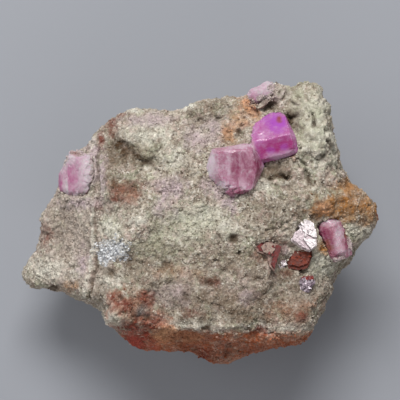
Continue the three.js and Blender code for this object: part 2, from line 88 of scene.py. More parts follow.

# Stains of the rock, with painted shade and highlights among them: pixel x and y of the middle, half-width,
# half-height and strength
STAINS = {
    "blush": [
        (68, 228, 36, 62, 0.75), (75, 275, 36, 26, 0.6), (112, 206, 24, 20, 0.4), (152, 118, 34, 9, 0.7),
        (215, 290, 60, 20, 0.35), (200, 130, 26, 18, 0.4), (300, 300, 20, 20, 0.3),
    ],
    "green": [
        (190, 225, 34, 20, 0.6), (310, 120, 24, 40, 0.5), (150, 150, 20, 12, 0.5), (345, 232, 22, 8, 0.6),
        (155, 250, 40, 10, 0.4), (320, 264, 14, 12, 0.6), (112, 226, 12, 12, 0.5), (300, 95, 7, 6, 0.8),
    ],
    "umber": [
        (228, 304, 78, 24, 0.9), (165, 285, 52, 26, 0.6), (290, 292, 34, 30, 0.7), (150, 258, 60, 12, 0.5),
        # 126, 152 darkens the recess below the ledge, as painted shadow and partly grime, and 270, 172 is
        # painted shade under the violet crystal
        (126, 152, 30, 18, 0.9), (262, 215, 24, 14, 0.5), (232, 262, 40, 16, 0.6), (270, 172, 18, 10, 0.8),
        (112, 172, 14, 24, 0.6), (123, 191, 18, 14, 0.7), (62, 226, 14, 28, 0.4), (205, 112, 20, 14, 0.5),
        (292, 118, 14, 18, 0.5),
        (345, 266, 12, 9, 0.5), (300, 211, 7, 8, 0.8), (100, 285, 8, 12, 0.5), (270, 104, 8, 7, 0.6),
        (290, 117, 8, 9, 0.9), (292, 313, 28, 13, 0.9), (116, 272, 16, 8, 0.8),
        (167, 268, 12, 7, 0.8), (178, 300, 22, 12, 0.7), (205, 283, 12, 8, 0.8), (150, 284, 12, 7, 0.5),
    ],
    "pale": [
        # Painted highlights among these: the upper rim at 134, 110 and 189, 107, the lobe's right rim at 335,
        # 142, and partly the ledge at 143, 137
        (111, 227, 11, 10, 0.9), (137, 220, 12, 6, 0.8), (202, 216, 24, 13, 0.6), (184, 236, 15, 9, 0.3),
        (228, 228, 13, 12, 0.6), (264, 187, 10, 7, 0.9), (143, 137, 26, 11, 0.8), (175, 158, 20, 12, 0.5),
        (322, 262, 14, 11, 0.8), (360, 229, 14, 6, 0.8), (321, 98, 7, 14, 0.5), (318, 140, 16, 30, 0.6),
        (190, 326, 30, 5, 0.5), (112, 316, 10, 11, 1.0), (134, 110, 9, 3, 1.0), (189, 107, 7, 4, 1.0),
        (310, 108, 18, 18, 0.3), (335, 142, 4, 20, 0.8), (240, 199, 7, 4, 0.7),
        (290, 330, 22, 6, 0.5), (50, 270, 24, 12, 0.7), (112, 280, 12, 8, 0.6), (92, 140, 4, 9, 0.9),
    ],
    "lilac": [
        (170, 190, 15, 12, 0.9), (164, 206, 10, 12, 0.8), (196, 140, 11, 11, 0.8), (234, 209, 5, 9, 0.9),
        (172, 295, 17, 11, 0.45), (246, 296, 9, 8, 0.6), (92, 160, 8, 24, 1.0), (84, 262, 6, 13, 0.9),
        (152, 119, 24, 6, 0.7), (213, 132, 9, 12, 0.7), (268, 96, 14, 10, 0.6), (80, 203, 18, 6, 0.9),
        (286, 252, 6, 5, 0.8), (221, 190, 7, 9, 0.9), (247, 102, 5, 4, 0.8), (206, 186, 6, 7, 0.7),
        (228, 203, 8, 5, 0.9), (101, 174, 5, 24, 0.9), (76, 205, 16, 4, 0.6),
    ],
    "silver": [(112, 250, 15, 10, 1.0), (103, 258, 7, 6, 0.9), (122, 255, 8, 7, 0.7)],
    "tan": [
        (246, 107, 8, 12, 1.0), (252, 114, 6, 6, 0.8), (240, 120, 9, 8, 0.7), (232, 128, 8, 8, 0.6),
        (322, 208, 8, 6, 0.8), (182, 338, 24, 6, 0.9),
        (166, 334, 16, 7, 1.0),
    ],
    "ochre": [
        (229, 136, 9, 7, 0.6), (238, 103, 5, 5, 0.3), (315, 211, 9, 8, 1.0),
        (344, 205, 28, 15, 1.0), (362, 208, 14, 15, 1.0), (350, 188, 18, 9, 0.9), (324, 247, 6, 6, 1.0),
        (175, 272, 22, 6, 0.3), (70, 287, 9, 6, 0.6),
    ],
    "earth": [
        (190, 345, 60, 12, 0.9), (280, 345, 50, 9, 0.9), (130, 306, 18, 16, 0.6), (152, 322, 16, 12, 0.6),
        (123, 193, 15, 11, 0.25), (292, 312, 28, 14, 0.2),
    ],
    "rust": [
        (119, 192, 11, 11, 0.5), (118, 199, 9, 5, 0.9), (133, 190, 7, 8, 0.45),
        (110, 122, 7, 11, 0.8), (101, 138, 4, 10, 0.9), (111, 132, 3, 7, 0.9), (117, 113, 8, 4, 0.9),
        (124, 304, 12, 13, 0.9), (145, 300, 8, 8, 0.9), (149, 322, 14, 10, 0.9), (130, 328, 16, 5, 0.9),
        (136, 342, 14, 12, 1.0), (258, 329, 13, 5, 1.0), (211, 283, 9, 4, 0.7), (302, 317, 6, 6, 0.7),
        (46, 236, 6, 12, 0.8), (272, 251, 15, 13, 0.55), (193, 313, 11, 4, 0.7), (99, 208, 6, 4, 0.5),
        (203, 354, 15, 6, 0.9), (284, 274, 10, 3, 0.5),
    ],
    "wine": [(134, 341, 14, 11, 1.0), (150, 346, 9, 7, 0.7), (112, 330, 6, 8, 0.5)],
    "slate": [(141, 310, 7, 6, 1.0), (147, 315, 4, 3, 0.8), (66, 207, 4, 3, 0.6)],
    "dark": [
        # The first six darken the recess below the ledge, and many of the rest darken pits and cracks:
        # painted shadow and shade, partly grime
        (118, 143, 8, 7, 1.0), (128, 150, 11, 6, 1.0), (139, 155, 8, 4, 1.0), (150, 162, 8, 2.5, 0.7),
        (116, 154, 6, 4, 0.5), (124, 156, 7, 3, 0.5),
        (270, 105, 7, 6, 0.5), (291, 121, 6, 9, 1.0), (281, 177, 10, 2.5, 0.9), (309, 179, 3, 6, 0.9),
        (234, 239, 6, 5, 0.9), (259, 279, 5, 2, 0.8), (206, 328, 6, 2, 1.0), (239, 253, 2, 2, 0.9),
        (126, 261, 10, 5, 0.5), (315, 120, 1.5, 5, 0.9), (332, 148, 3, 6, 0.8), (240, 133, 4, 4, 0.8),
        (115, 183, 4, 5, 0.7), (133, 187, 6, 5, 0.75), (121, 201, 4, 2, 0.6), (132, 312, 4, 6, 0.6),
        (150, 318, 6, 3, 0.7), (122, 298, 5, 3, 0.6), (176, 303, 6, 4, 0.5), (211, 283, 5, 3, 0.6),
        (168, 290, 4, 3, 0.5), (250, 300, 5, 3, 0.5), (276, 296, 5, 3, 0.5), (228, 312, 6, 3, 0.5),
        (321, 156, 5, 3, 0.6), (112, 274, 5, 4, 0.7), (186, 297, 4, 6, 0.5), (165, 263, 4, 4, 0.5),
        (53, 288, 5, 2, 0.8),
    ],
}
# Stains along a line: points of the line, half-width and strength. The pale one is a painted highlight along
# the rib, and the dark ones are painted shade in the creases along the ridge.
STAIN_LINES = {
    "pale": [([(95, 205), (95, 236), (92, 250), (91, 269), (88, 281), (84, 298)], 1.5, 0.7)],
    "dark": [
        ([(97, 246), (96, 256), (95, 268), (92, 282), (89, 298)], 1.2, 0.75),
        ([(98, 150), (98, 185), (97, 215), (97, 246)], 1.2, 0.55),
    ],
}
FLANK_FROM = 328  # pixel row below which the flank's red-brown stain begins
FLANK_RUN = 8  # pixels over which it sets in
FLANK_FADES = 20 * MM  # level about which the stain breaks up towards the underside
FLANK_FADE_RUN = 9 * MM

# Relief of the front that the solids leave out, in pixels across and down, with depths in millimetres.
# Pits, and knobs where the depth is negative: x, y, half-width, half-height and depth
PITS = [
    (270, 105, 8, 6, 1.8), (291, 119, 6, 8, 2.0), (234, 239, 6, 4, 1.6), (206, 328, 6, 2, 1.4),
    (300, 95, 5, 4, 1.2), (239, 253, 2, 2, 1.2), (240, 133, 4, 4, 1.2), (126, 261, 11, 5, 0.7),
    (259, 279, 5, 2, 1.0), (280, 198, 5, 2, 1.0), (270, 169, 9, 4, 1.2), (212, 284, 7, 4, 0.9),
    (321, 156, 5, 3, 1.4), (112, 274, 5, 4, 0.8), (165, 263, 4, 4, 0.5), (186, 297, 4, 6, 0.5),
    (53, 288, 5, 2, 1.2), (120, 160, 16, 10, 0.8), (112, 316, 9, 10, -2.0), (189, 107, 7, 5, -1.0),
    (137, 220, 10, 5, -0.6), (320, 207, 12, 8, -0.8), (286, 252, 6, 5, -0.8), (110, 228, 10, 9, -0.5),
]
# Cracks, and ribs where the depth is negative: points of the line, half-width and depth
CRACKS = [
    ([(97, 238), (96, 256), (95, 268), (92, 282), (89, 298)], 1.7, 0.9),
    ([(98, 150), (97, 185), (96, 215)], 1.8, 1.0),
    ([(95, 205), (94, 236), (91, 252), (90, 269), (87, 281), (83, 298)], 3.0, -0.5),
    ([(237, 217), (241, 225), (247, 228), (256, 231)], 1.3, 0.8),
    ([(259, 229), (267, 230), (276, 228), (290, 221)], 1.3, 0.7),
    ([(271, 178), (281, 175), (290, 177)], 2.2, 1.7),
    ([(294, 157), (300, 161), (306, 166)], 2.0, 1.2),
    ([(306, 171), (309, 178), (312, 185)], 2.4, 1.6),
    ([(314, 114), (315, 125)], 2.0, 1.8),
    ([(328, 142), (333, 148), (336, 155)], 2.4, 1.6),
    ([(160, 325), (205, 329), (250, 321)], 3.0, -0.7),
]
# Steps: the two ends, the drop below the line, and how far down it heals at either end
STEPS = [((113, 133), (160, 166), 0.4, (26, 12)), ((296, 222), (314, 217), 1.0, (8, 6))]
STEP_RAMP = 5.0  # pixels that a step's drop takes
STEP_END = 8.0  # pixels over which a step dies out past its ends
# Crumbly stretches, where the rock is lumps and gaps
CRUMBLY = [
    (305, 118, 42, 52, 1.0), (285, 172, 40, 16, 0.8), (335, 190, 32, 22, 0.6), (240, 112, 26, 22, 0.4),
    (112, 316, 10, 11, 0.8),
]


def srgb(red, green, blue):
    """A colour given as 0 to 255 on screen, as the linear values that shaders take."""
    screen = np.array([red, green, blue]) / 255
    linear = np.where(screen < 0.04045, screen / 12.92, ((screen + 0.055) / 1.055) ** 2.4)
    return (*linear, 1.0)


def unit(values):
    """Values held between 0 and 1."""
    return np.clip(values, 0, 1)


# Numbers without a pattern, which scatter the cells of a lattice and the channels of the noise
CELL_MIX = np.array([127.1, 311.7, 74.7])
CHANNEL_MIX = 53.9
WAVE_MIX = 43758.5453
NOISE_APART = 7.3  # keeps the noises of one material from being alike


def cell_number(cells, channel):
    """A repeatable number from 0 to 1 for each lattice cell."""
    wave = np.sin(cells @ CELL_MIX + channel * CHANNEL_MIX) * WAVE_MIX
    return wave - np.floor(wave)


def cell_numbers(cells, channel, count):
    """Several such numbers for each cell, side by side."""
    return np.stack([cell_number(cells, channel + i) for i in range(count)], axis=1)


def cells_about(points, size):
    """The points in units of that size, with each of the 27 lattice cells about them in turn."""
    place = points / size
    base = np.floor(place)
    for step in np.ndindex(3, 3, 3):
        yield place, base + np.array(step) - 1


def smooth_noise(points, size, channel):
    """Smooth noise from -1 to 1, with bumps of about that size, different for each channel."""
    place = points / size
    base = np.floor(place)
    share = place - base
    share = share * share * (3 - 2 * share)
    total = np.zeros(len(points))
    for corner in np.ndindex(2, 2, 2):
        weight = np.prod(np.where(corner, share, 1 - share), axis=1)
        total += weight * cell_number(base + corner, channel)
    return 2 * total - 1


def layered_noise(points, channel, *layers):
    """Smooth noise of several sizes at once: how strong and how large each is."""
    return sum(strong * smooth_noise(points, size, channel + i) for i, (strong, size) in enumerate(layers))


def cell_noise(points, size, channel):
    """Distance to the nearest of scattered points, as a share of that size, and a number for that point."""
    nearest = np.full(len(points), np.inf)
    number = np.zeros(len(points))
    for place, cell in cells_about(points, size):
        spot = cell + cell_numbers(cell, channel, 3)
        away = np.linalg.norm(place - spot, axis=1)
        number = np.where(away < nearest, cell_number(cell, channel + 3), number)
        nearest = np.minimum(nearest, away)
    return nearest, number


def lumps(points, size, channel):
    """Rounded lumps with narrow gaps between them, from 0 to 1 high."""
    nearest, number = cell_noise(points, size, channel)
    return (0.35 + 0.65 * number) * np.sqrt(unit(1 - (1.45 * nearest) ** 2))


def chips(points, size, channel):
    """Height of flat chips of about that size, each leaning its own way."""
    nearest = np.full(len(points), np.inf)
    height = np.zeros(len(points))
    for place, cell in cells_about(points, size):
        numbers = cell_numbers(cell, channel, 6)
        offset = place - cell - numbers[:, :3]
        away = np.linalg.norm(offset, axis=1)
        lean = np.sum(offset * (2 * numbers[:, 3:] - 1), axis=1)
        height = np.where(away < nearest, lean, height)
        nearest = np.minimum(nearest, away)
    return size * height


def seen_at(points):
    """The photograph's pixel that shows each point."""
    scale = PIXEL * (CAMERA_HEIGHT - points[:, 2]) / (CAMERA_HEIGHT - WIDEST_LEVEL)
    across = PHOTO_SIDE / 2 + (points[:, 0] - LOOK_AT[0]) / scale
    down = PHOTO_SIDE / 2 - (points[:, 1] - LOOK_AT[1]) / scale
    return across, down


def patches(across, down, spots, ragged, soft=0.7):
    """How far each pixel lies in a set of soft, ragged patches, from 0 to 1."""
    share = np.zeros(len(across))
    for x, y, wide, tall, strength in spots:
        away = np.hypot((across - x) / wide, (down - y) / tall)
        share = np.maximum(share, strength * unit((PATCH_END - away + ragged) / soft))
    return share


def line_distance(across, down, points):
    """How many pixels each pixel lies from a line of points."""
    nearest = np.full(len(across), np.inf)
    for (x0, y0), (x1, y1) in zip(points, points[1:]):
        run = (x1 - x0) ** 2 + (y1 - y0) ** 2
        share = unit(((across - x0) * (x1 - x0) + (down - y0) * (y1 - y0)) / run)
        away = np.hypot(across - x0 - share * (x1 - x0), down - y0 - share * (y1 - y0))
        nearest = np.minimum(nearest, away)
    return nearest


def read(rows, name, width, kind=float):
    """One property of many rows, with that many numbers in each."""
    flat = np.empty(len(rows) * width, kind)
    rows.foreach_get(name, flat)
    return flat.reshape(-1, width)


def points_of(mesh):
    return read(mesh.vertices, "co", 3)


def normals_of(mesh):
    return read(mesh.vertex_normals, "vector", 3, np.float32).astype(float)


def move_points(mesh, points):
    mesh.vertices.foreach_set("co", points.ravel())
    mesh.update()


def smoothed(mesh, values, rounds):
    """Values of the points, each drawn halfway to the mean of its neighbours in each round."""
    ends = read(mesh.edges, "vertices", 2, np.int64)
    count = np.bincount(ends.ravel(), minlength=len(values)).reshape(-1, 1)
    for _ in range(rounds):
        total = np.zeros_like(values)
        np.add.at(total, ends[:, 0], values[ends[:, 1]])
        np.add.at(total, ends[:, 1], values[ends[:, 0]])
        values = values + 0.5 * (total / count - values)
    return values


def store(mesh, name, values):
    """Keeps a number for each point, for the materials to read."""
    attribute = mesh.attributes.new(name, "FLOAT", "POINT")
    attribute.data.foreach_set("value", np.asarray(values, np.float32))


def stored(mesh, name):
    return read(mesh.attributes[name].data, "value", 1, np.float32)[:, 0]


def new_object(name, data):
    """An object in the scene."""
    made = bpy.data.objects.new(name, data)
    bpy.context.scene.collection.objects.link(made)
    return made


def add_piece(name, mesh, material, node=None):
    """A finished piece of the specimen, which may stand for a CAD node."""
    piece = new_object(name, mesh)
    mesh.materials.clear()
    mesh.materials.append(material)
    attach(piece, "root")
    if node:
        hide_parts(node)
    return piece


def changed_copy(mesh, kind, group=None, **settings):
    """The mesh after one modifier, which may act on some of its points only."""
    helper = new_object("helper", mesh)
    modifier = helper.modifiers.new("change", kind)
    if group is not None:
        helper.vertex_groups.new(name="some").add(group.tolist(), 1.0, "REPLACE")
        modifier.vertex_group = "some"
    for name, value in settings.items():
        setattr(modifier, name, value)
    made = bpy.data.meshes.new_from_object(helper.evaluated_get(bpy.context.evaluated_depsgraph_get()))
    bpy.data.objects.remove(helper)
    return made


def evened_mesh(node, voxel):
    """A closed copy of a CAD node's mesh with small, even faces."""
    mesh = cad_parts[node].data.copy()
    welded = bmesh.new()
    welded.from_mesh(mesh)
    bmesh.ops.remove_doubles(welded, verts=welded.verts, dist=WELD)
    welded.to_mesh(mesh)
    welded.free()
    return changed_copy(mesh, "REMESH", mode="VOXEL", voxel_size=voxel)


def thinned_behind(mesh, most):
    """The mesh with the faces that look down or sideways merged until few enough triangles are left."""
    hidden = np.nonzero(normals_of(mesh)[:, 2] < SIDEWAYS)[0]
    ratio = most / (2 * len(mesh.polygons))
    return changed_copy(mesh, "DECIMATE", hidden, ratio=min(ratio, 1.0), vertex_group_factor=1.0)


def smooth_shaded(mesh):
    mesh.polygons.foreach_set("use_smooth", np.ones(len(mesh.polygons), bool))


class Shader:
    """A node material, with short calls for the nodes that the materials here share."""

    def __init__(self, name):
        self.material = bpy.data.materials.new(name)
        self.material.use_nodes = True
        self.tree = self.material.node_tree
        self.surface = self.tree.nodes["Principled BSDF"]
        self.place = self.tree.nodes.new("ShaderNodeTexCoord").outputs["Object"]
        self.noises = 0

    def set(self, socket, value):
        if isinstance(value, bpy.types.NodeSocket):
            self.tree.links.new(value, socket)
        else:
            socket.default_value = value

    def node(self, kind, inputs, **settings):
        made = self.tree.nodes.new("ShaderNode" + kind)
        for name, value in settings.items():
            setattr(made, name, value)
        for name, value in inputs.items():
            self.set(made.inputs[name], value)
        return made

    def finish(self, **inputs):
        """The material, with the surface's inputs set: their names have _ for a space."""
        for name, value in inputs.items():
            self.set(self.surface.inputs[name.replace("_", " ")], value)
        return self.material

    def noise(self, size, detail=3.0, roughness=0.6, place=None, swirl=0.0):
        """Cloudy noise about 0.5 with bumps of that size, different at each call."""
        self.noises += 1
        inputs = {
            "Vector": place or self.place, "W": NOISE_APART * self.noises, "Scale": 1 / size,
            "Detail": detail, "Roughness": roughness, "Distortion": swirl,
        }
        return self.node("TexNoise", inputs, noise_dimensions="4D").outputs["Fac"]

    def cells(self, size):
        """Grains of that size: the way from each grain's middle, and a colour for each grain."""
        made = self.node("TexVoronoi", {"Vector": self.place, "Scale": 1 / size})
        return made.outputs["Distance"], made.outputs["Color"]

    def stretched(self, across, along, direction):
        """Coordinates for streaks that run along a direction, in units of the streak."""
        turn = Vector(direction).to_track_quat("Z", "Y").inverted().to_euler()
        turned = self.node("Mapping", {"Vector": self.place, "Rotation": turn}).outputs["Vector"]
        scale = (1 / across, 1 / across, 1 / along)
        return self.node("Mapping", {"Vector": turned, "Scale": scale}).outputs["Vector"]

    def stored(self, name):
        return self.node("Attribute", {}, attribute_name=name).outputs["Fac"]

    def span(self, value, low, high, to_low=0.0, to_high=1.0):
        """The value's way from low to high, spread between two other values."""
        inputs = {"Value": value, "From Min": low, "From Max": high, "To Min": to_low, "To Max": to_high}
        return self.node("MapRange", inputs).outputs["Result"]

    def math(self, operation, first, second):
        made = self.node("Math", {}, operation=operation)
        self.set(made.inputs[0], first)
        self.set(made.inputs[1], second)
        return made.outputs["Value"]

    def times(self, first, second):
        return self.math("MULTIPLY", first, second)

    def larger(self, first, second):
        return self.math("MAXIMUM", first, second)

    def mix(self, share, first, second, blend="MIX"):
        made = self.node("Mix", {}, data_type="RGBA", blend_type=blend)
        self.set(made.inputs[0], share)
        self.set(made.inputs[6], first)
        self.set(made.inputs[7], second)
        return made.outputs[2]

    def coated(self, colour, *coats):
        """The colour under coats of other colours: how strong each is, and which colour."""
        for strong, tint in coats:
            colour = self.mix(strong, colour, tint)
        return colour

    def bump(self, height, depth, strength, under=None):
        """The surface's way with relief of that depth, which may lie on other relief."""
        inputs = {"Height": height, "Distance": depth, "Strength": strength}
        made = self.node("Bump", inputs)
        if under:
            self.set(made.inputs["Normal"], under)
        return made.outputs["Normal"]


# Colours of the stains, painted shade and highlights among them, in the order in which they lie on each
# other, and how much stays between blotches
STAIN_COLOURS = {
    "blush": (srgb(184, 171, 162), 0.6),
    "green": (srgb(168, 172, 146), 0.4),
    # umber: brown patches, with painted shade under the violet crystal and in the recess below the ledge
    "umber": (srgb(112, 96, 80), 0.35),
    # pale: light patches of the rock, with painted highlights on rims, the rib and the ledge
    "pale": (srgb(212, 209, 196), 0.35),
    "lilac": (srgb(184, 166, 170), 0.4),
    "silver": (srgb(206, 207, 208), 0.5),
    "ochre": (srgb(162, 114, 66), 0.55),
    "earth": (srgb(178, 100, 64), 0.5),
    "tan": (srgb(198, 148, 112), 0.6),
    "rust": (srgb(110, 48, 36), 0.35),
    "wine": (srgb(168, 80, 68), 0.75),
    "slate": (srgb(96, 90, 88), 0.8),
    # dark: grime, and painted shade and shadow in the recess, pits and creases
    "dark": (srgb(78, 59, 42), 0.45),
}
BLOTCH = 2.8 * MM  # size of the blotches that a stain breaks into


def stained(shader, colour):
    """The colour under the rock's stains, painted shade and highlights among them, each broken into blotches.
    """
    for name, (tint, fade) in STAIN_COLOURS.items():
        blotches = shader.span(shader.noise(BLOTCH, 5, 0.65, swirl=0.8), 0.4, 0.55, fade, 1.0)
        colour = shader.mix(shader.times(shader.stored(name), blotches), colour, tint)
    return colour


# Patches of the rock's own tones: size, where in the noise they begin, how strong and which colour
ROCK_PATCHES = [
    (6.0 * MM, 0.51, 0.6, srgb(166, 169, 145)), (4.5 * MM, 0.52, 0.6, srgb(186, 163, 155)),
    (3.0 * MM, 0.54, 0.5, srgb(110, 95, 80)), (2.8 * MM, 0.55, 0.6, srgb(220, 215, 204)),
    (2.0 * MM, 0.57, 0.55, srgb(122, 108, 94)), (3.6 * MM, 0.61, 0.7, srgb(84, 68, 54)),
    (1.9 * MM, 0.58, 0.55, srgb(222, 218, 208)),
]


def rock_material():
    """Pale sugary rock: mottled at every size, with stains, painted shade and highlights, and with grime and
    painted shade in its pits and hollows.
    """
    shader = Shader("rock")
    tone = shader.noise(4.5 * MM, 8, 0.74, swirl=0.6)
    colour = shader.mix(shader.span(tone, 0.34, 0.5), srgb(108, 95, 83), srgb(162, 151, 136))
    colour = shader.mix(shader.span(tone, 0.5, 0.66), colour, srgb(212, 205, 191))
    for size, low, share, tint in ROCK_PATCHES:
        patch = shader.span(shader.noise(size, 5, 0.62, swirl=0.9), low, low + 0.06, 0, share)
        colour = shader.mix(patch, colour, tint)
    colour = stained(shader, colour)
    grain, grain_tone = shader.cells(0.8 * MM)
    mottle = shader.span(shader.noise(1.0 * MM, 5, 0.8, swirl=1.6), 0.3, 0.7, 0.52, 1.44)
    gritty = shader.span(shader.stored("crumbly"), 0, 1, 1.0, 0.45)
    colour = shader.mix(gritty, colour, mottle, "MULTIPLY")
    colour = shader.mix(gritty, colour, shader.span(grain_tone, 0.15, 0.85, 0.76, 1.22), "MULTIPLY")
    dark_specks = shader.times(shader.span(shader.noise(1.1 * MM, 3), 0.6, 0.66, 0, 0.75), gritty)
    light_specks = shader.span(shader.noise(1.2 * MM, 3), 0.62, 0.7, 0, 0.35)
    # Pits and hollows darkened: grime, and painted shade where less light reaches
    dirt_and_painted_shade = shader.times(shader.stored("cavity"), 0.55)
    colour = shader.coated(
        colour,
        (dark_specks, srgb(78, 64, 52)),
        (light_specks, srgb(226, 221, 211)),
        (dirt_and_painted_shade, srgb(82, 68, 55)),
    )
    rough = shader.bump(shader.noise(1.5 * MM, 6, 0.78, swirl=1.0), 0.7 * MM, shader.times(gritty, 0.65))
    grainy = shader.bump(shader.span(grain, 0, 0.7, 1, 0), 0.25 * MM, 0.5, rough)
    return shader.finish(Base_Color=colour, Roughness=0.9, Normal=grainy, Specular_IOR_Level=0.15)


def grain_material():
    """Grains that stand out of the rock, from brown through cream to white."""
    shader = Shader("grains")
    tone = shader.stored("tone")
    colour = shader.coated(
        srgb(146, 134, 120),
        (shader.span(tone, 0.0, 0.8), srgb(194, 186, 172)),
        (shader.span(tone, 0.94, 0.98), srgb(216, 211, 200)),
        (shader.span(tone, 0.12, 0.06), srgb(96, 82, 68)),
    )
    colour = stained(shader, colour)
    colour = shader.mix(1.0, colour, shader.span(shader.noise(0.6 * MM, 4), 0.3, 0.7, 0.7, 1.25), "MULTIPLY")
    return shader.finish(Base_Color=colour, Roughness=0.9, Specular_IOR_Level=0.15)


def crystal_material(name, colour_of, transmission, rough, density, tint):
    """Translucent crystal: a tinted, slightly frosted surface over an absorbing inside."""
    shader = Shader(name)
    absorb = shader.node("VolumeAbsorption", {"Color": tint, "Density": density})
    shader.tree.links.new(absorb.outputs["Volume"], shader.tree.nodes["Material Output"].inputs["Volume"])
    frost = shader.span(shader.noise(1.4 * MM), 0.35, 0.7, rough * 0.6, rough * 1.9)
    worn = shader.span(shader.stored("edge"), 0.1, 0.6, 0.0, 0.75)
    frost = shader.larger(shader.larger(frost, worn), shader.stored("stone"))
    bump = shader.bump(shader.noise(0.9 * MM, 5, 0.7, swirl=0.8), 0.12 * MM, 0.5)
    return shader.finish(
        Base_Color=colour_of(shader), Roughness=frost, IOR=1.65, Normal=bump,
        Transmission_Weight=transmission, Specular_IOR_Level=0.15,
        Subsurface_Weight=0.5, Subsurface_Radius=(1.0, 0.6, 0.85), Subsurface_Scale=2.0 * MM,
    )


def zoned(shader, colour, streak_way, milk_and_highlight, deep):
    """A crystal's colour with milky and deeper zones, streaks along its growth, and stone at its foot; the
    whitened edges are frosted wear with a painted highlight, some milky zones are painted highlights and some
    deep zones painted shade.
    """
    streaks = shader.noise(1.0, 6, 0.75, shader.stretched(1.3 * MM, 3.4 * MM, streak_way), 0.7)
    clouds = shader.noise(2.4 * MM, 7, 0.8, swirl=0.6)
    veins = shader.noise(1.2 * MM, 6, 0.85, swirl=1.5)
    gaps = shader.noise(1.1 * MM, 6, 0.85, swirl=1.5)
    broken = shader.noise(1.3 * MM, 5, 0.8)
    specks = shader.noise(0.8 * MM, 4, 0.8)
    stone = shader.mix(shader.span(specks, 0.35, 0.65), srgb(140, 128, 118), srgb(214, 206, 198))
    return shader.coated(
        colour,
        (shader.span(clouds, 0.47, 0.6, 0, 0.65), milk_and_highlight),
        (shader.span(streaks, 0.5, 0.38, 0, 0.4), deep),
        (shader.times(shader.stored("deep"), shader.span(streaks, 0.66, 0.42, 0.35, 1.0)), deep),
        (shader.times(shader.stored("milk_and_highlight"), shader.span(clouds, 0.3, 0.6, 0.5, 1.0)), milk_and_highlight),
        # Edges whitened with the milky colour: frosted wear, and a painted highlight along them
        (shader.times(shader.stored("edge"), shader.span(clouds, 0.45, 0.6, 0, 0.25)), milk_and_highlight),
        (shader.span(veins, 0.58, 0.66, 0, 0.45), milk_and_highlight),
        (shader.span(gaps, 0.56, 0.66, 0, 0.55), deep),
        (shader.times(shader.stored("stone"), shader.span(broken, 0.36, 0.56, 0.2, 1.0)), stone),
    )


def pair_colour(shader):
    """Violet in one crystal, pale rose with faint streaks in the other."""
    violet = zoned(shader, srgb(202, 122, 186), (0.97, 0.2, 0.1), srgb(232, 188, 224), srgb(190, 46, 134))
    rose = zoned(shader, srgb(206, 152, 176), (-0.17, 0.98, 0.1), srgb(242, 226, 238), srgb(154, 62, 100))
    purple, rust = (shader.stored("purple"), srgb(192, 92, 212)), (shader.stored("rust"), srgb(170, 90, 66))
    return shader.coated(rose, (shader.stored("violet"), violet), purple, rust)


def rose_colour(shader):
    rose = zoned(shader, srgb(194, 132, 150), (0.41, -0.9, -0.1), srgb(232, 208, 220), srgb(146, 56, 90))
    return shader.mix(shader.stored("rust"), rose, srgb(150, 86, 54))


def pale_colour(shader):
    lilac = zoned(shader, srgb(200, 172, 186), (0.22, 0.97, 0.1), srgb(216, 204, 210), srgb(186, 106, 150))
    return shader.mix(shader.stored("rust"), lilac, srgb(164, 118, 104))


def mica_material(name, dark, light, spot, metallic, rough, line_way):
    """Pearly cleavage sheets, each with its own tone, crossed by fine dark streaks of painted shadow along
    the cleavage steps, and flecked with glints.
    """
    shader = Shader(name)
    dark, light, spot = (srgb(*screen) for screen in (dark, light, spot))
    clouds = shader.noise(0.9 * MM, 4, 0.7)
    # Fine streaks of the dark colour along the sheets: painted shadow of the cleavage steps
    step_shadow_lines = shader.noise(1.0, 2, 0.5, shader.stretched(0.5 * MM, 7 * MM, line_way))
    colour = shader.coated(
        dark, (shader.stored("tone"), light), (shader.stored("spot"), spot),
        (shader.span(clouds, 0.5, 0.64, 0, 0.7), dark), (shader.span(step_shadow_lines, 0.58, 0.64, 0, 0.6), dark),
    )
    _, grain = shader.cells(0.7 * MM)
    colour = shader.mix(1.0, colour, shader.span(grain, 0.15, 0.85, 0.72, 1.24), "MULTIPLY")
    gloss = shader.span(grain, 0.2, 0.8, rough * 0.6, rough * 1.5)
    bump = shader.bump(shader.noise(0.8 * MM, 4), 0.4 * MM, 0.9)
    return shader.finish(
        Base_Color=colour, Roughness=gloss, Metallic=metallic, Normal=bump, Specular_IOR_Level=0.35,
    )


def floor_material():
    shader = Shader("floor")
    colour = shader.mix(shader.noise(200 * MM, 2), srgb(144, 147, 154), srgb(150, 153, 160))
    return shader.finish(Base_Color=colour, Roughness=0.9)


def broken_relief(points, crumbly):
    """Height of the broken, granular surface above the plain solid."""
    sway = np.stack([smooth_noise(points, 2.6 * MM, 90 + axis) for axis in range(3)], axis=1)
    swayed = points + 0.6 * MM * sway
    rise = layered_noise(points, 1, (0.9 * MM, 10 * MM), (0.28 * MM, 4 * MM))
    rise += 0.08 * chips(swayed, 7 * MM, 100) + (0.18 + 0.12 * crumbly) * chips(swayed, 3.2 * MM, 110)
    rise += (0.3 - 0.22 * crumbly) * chips(points, 1.5 * MM, 120)
    rise += 1.9 * crumbly * MM * (lumps(swayed, 4.2 * MM, 10) - 0.4)
    rise += (0.15 + 0.6 * crumbly) * MM * (lumps(swayed, 2.3 * MM, 20) - 0.4)
    pits, _ = cell_noise(swayed, 4 * MM, 40)
    pitted = np.clip(0.6 + 1.2 * smooth_noise(points, 13 * MM, 45), 0.15, 1)
    return rise - 1.2 * MM * pitted * unit(1 - pits / 0.27)


def wavered(points, across, down):
    """Pixels moved about a little, so that nothing placed by them runs straight."""
    waver = ((1.8, 4 * MM), (0.8, 1.6 * MM))
    return across + layered_noise(points, 80, *waver), down + layered_noise(points, 82, *waver)


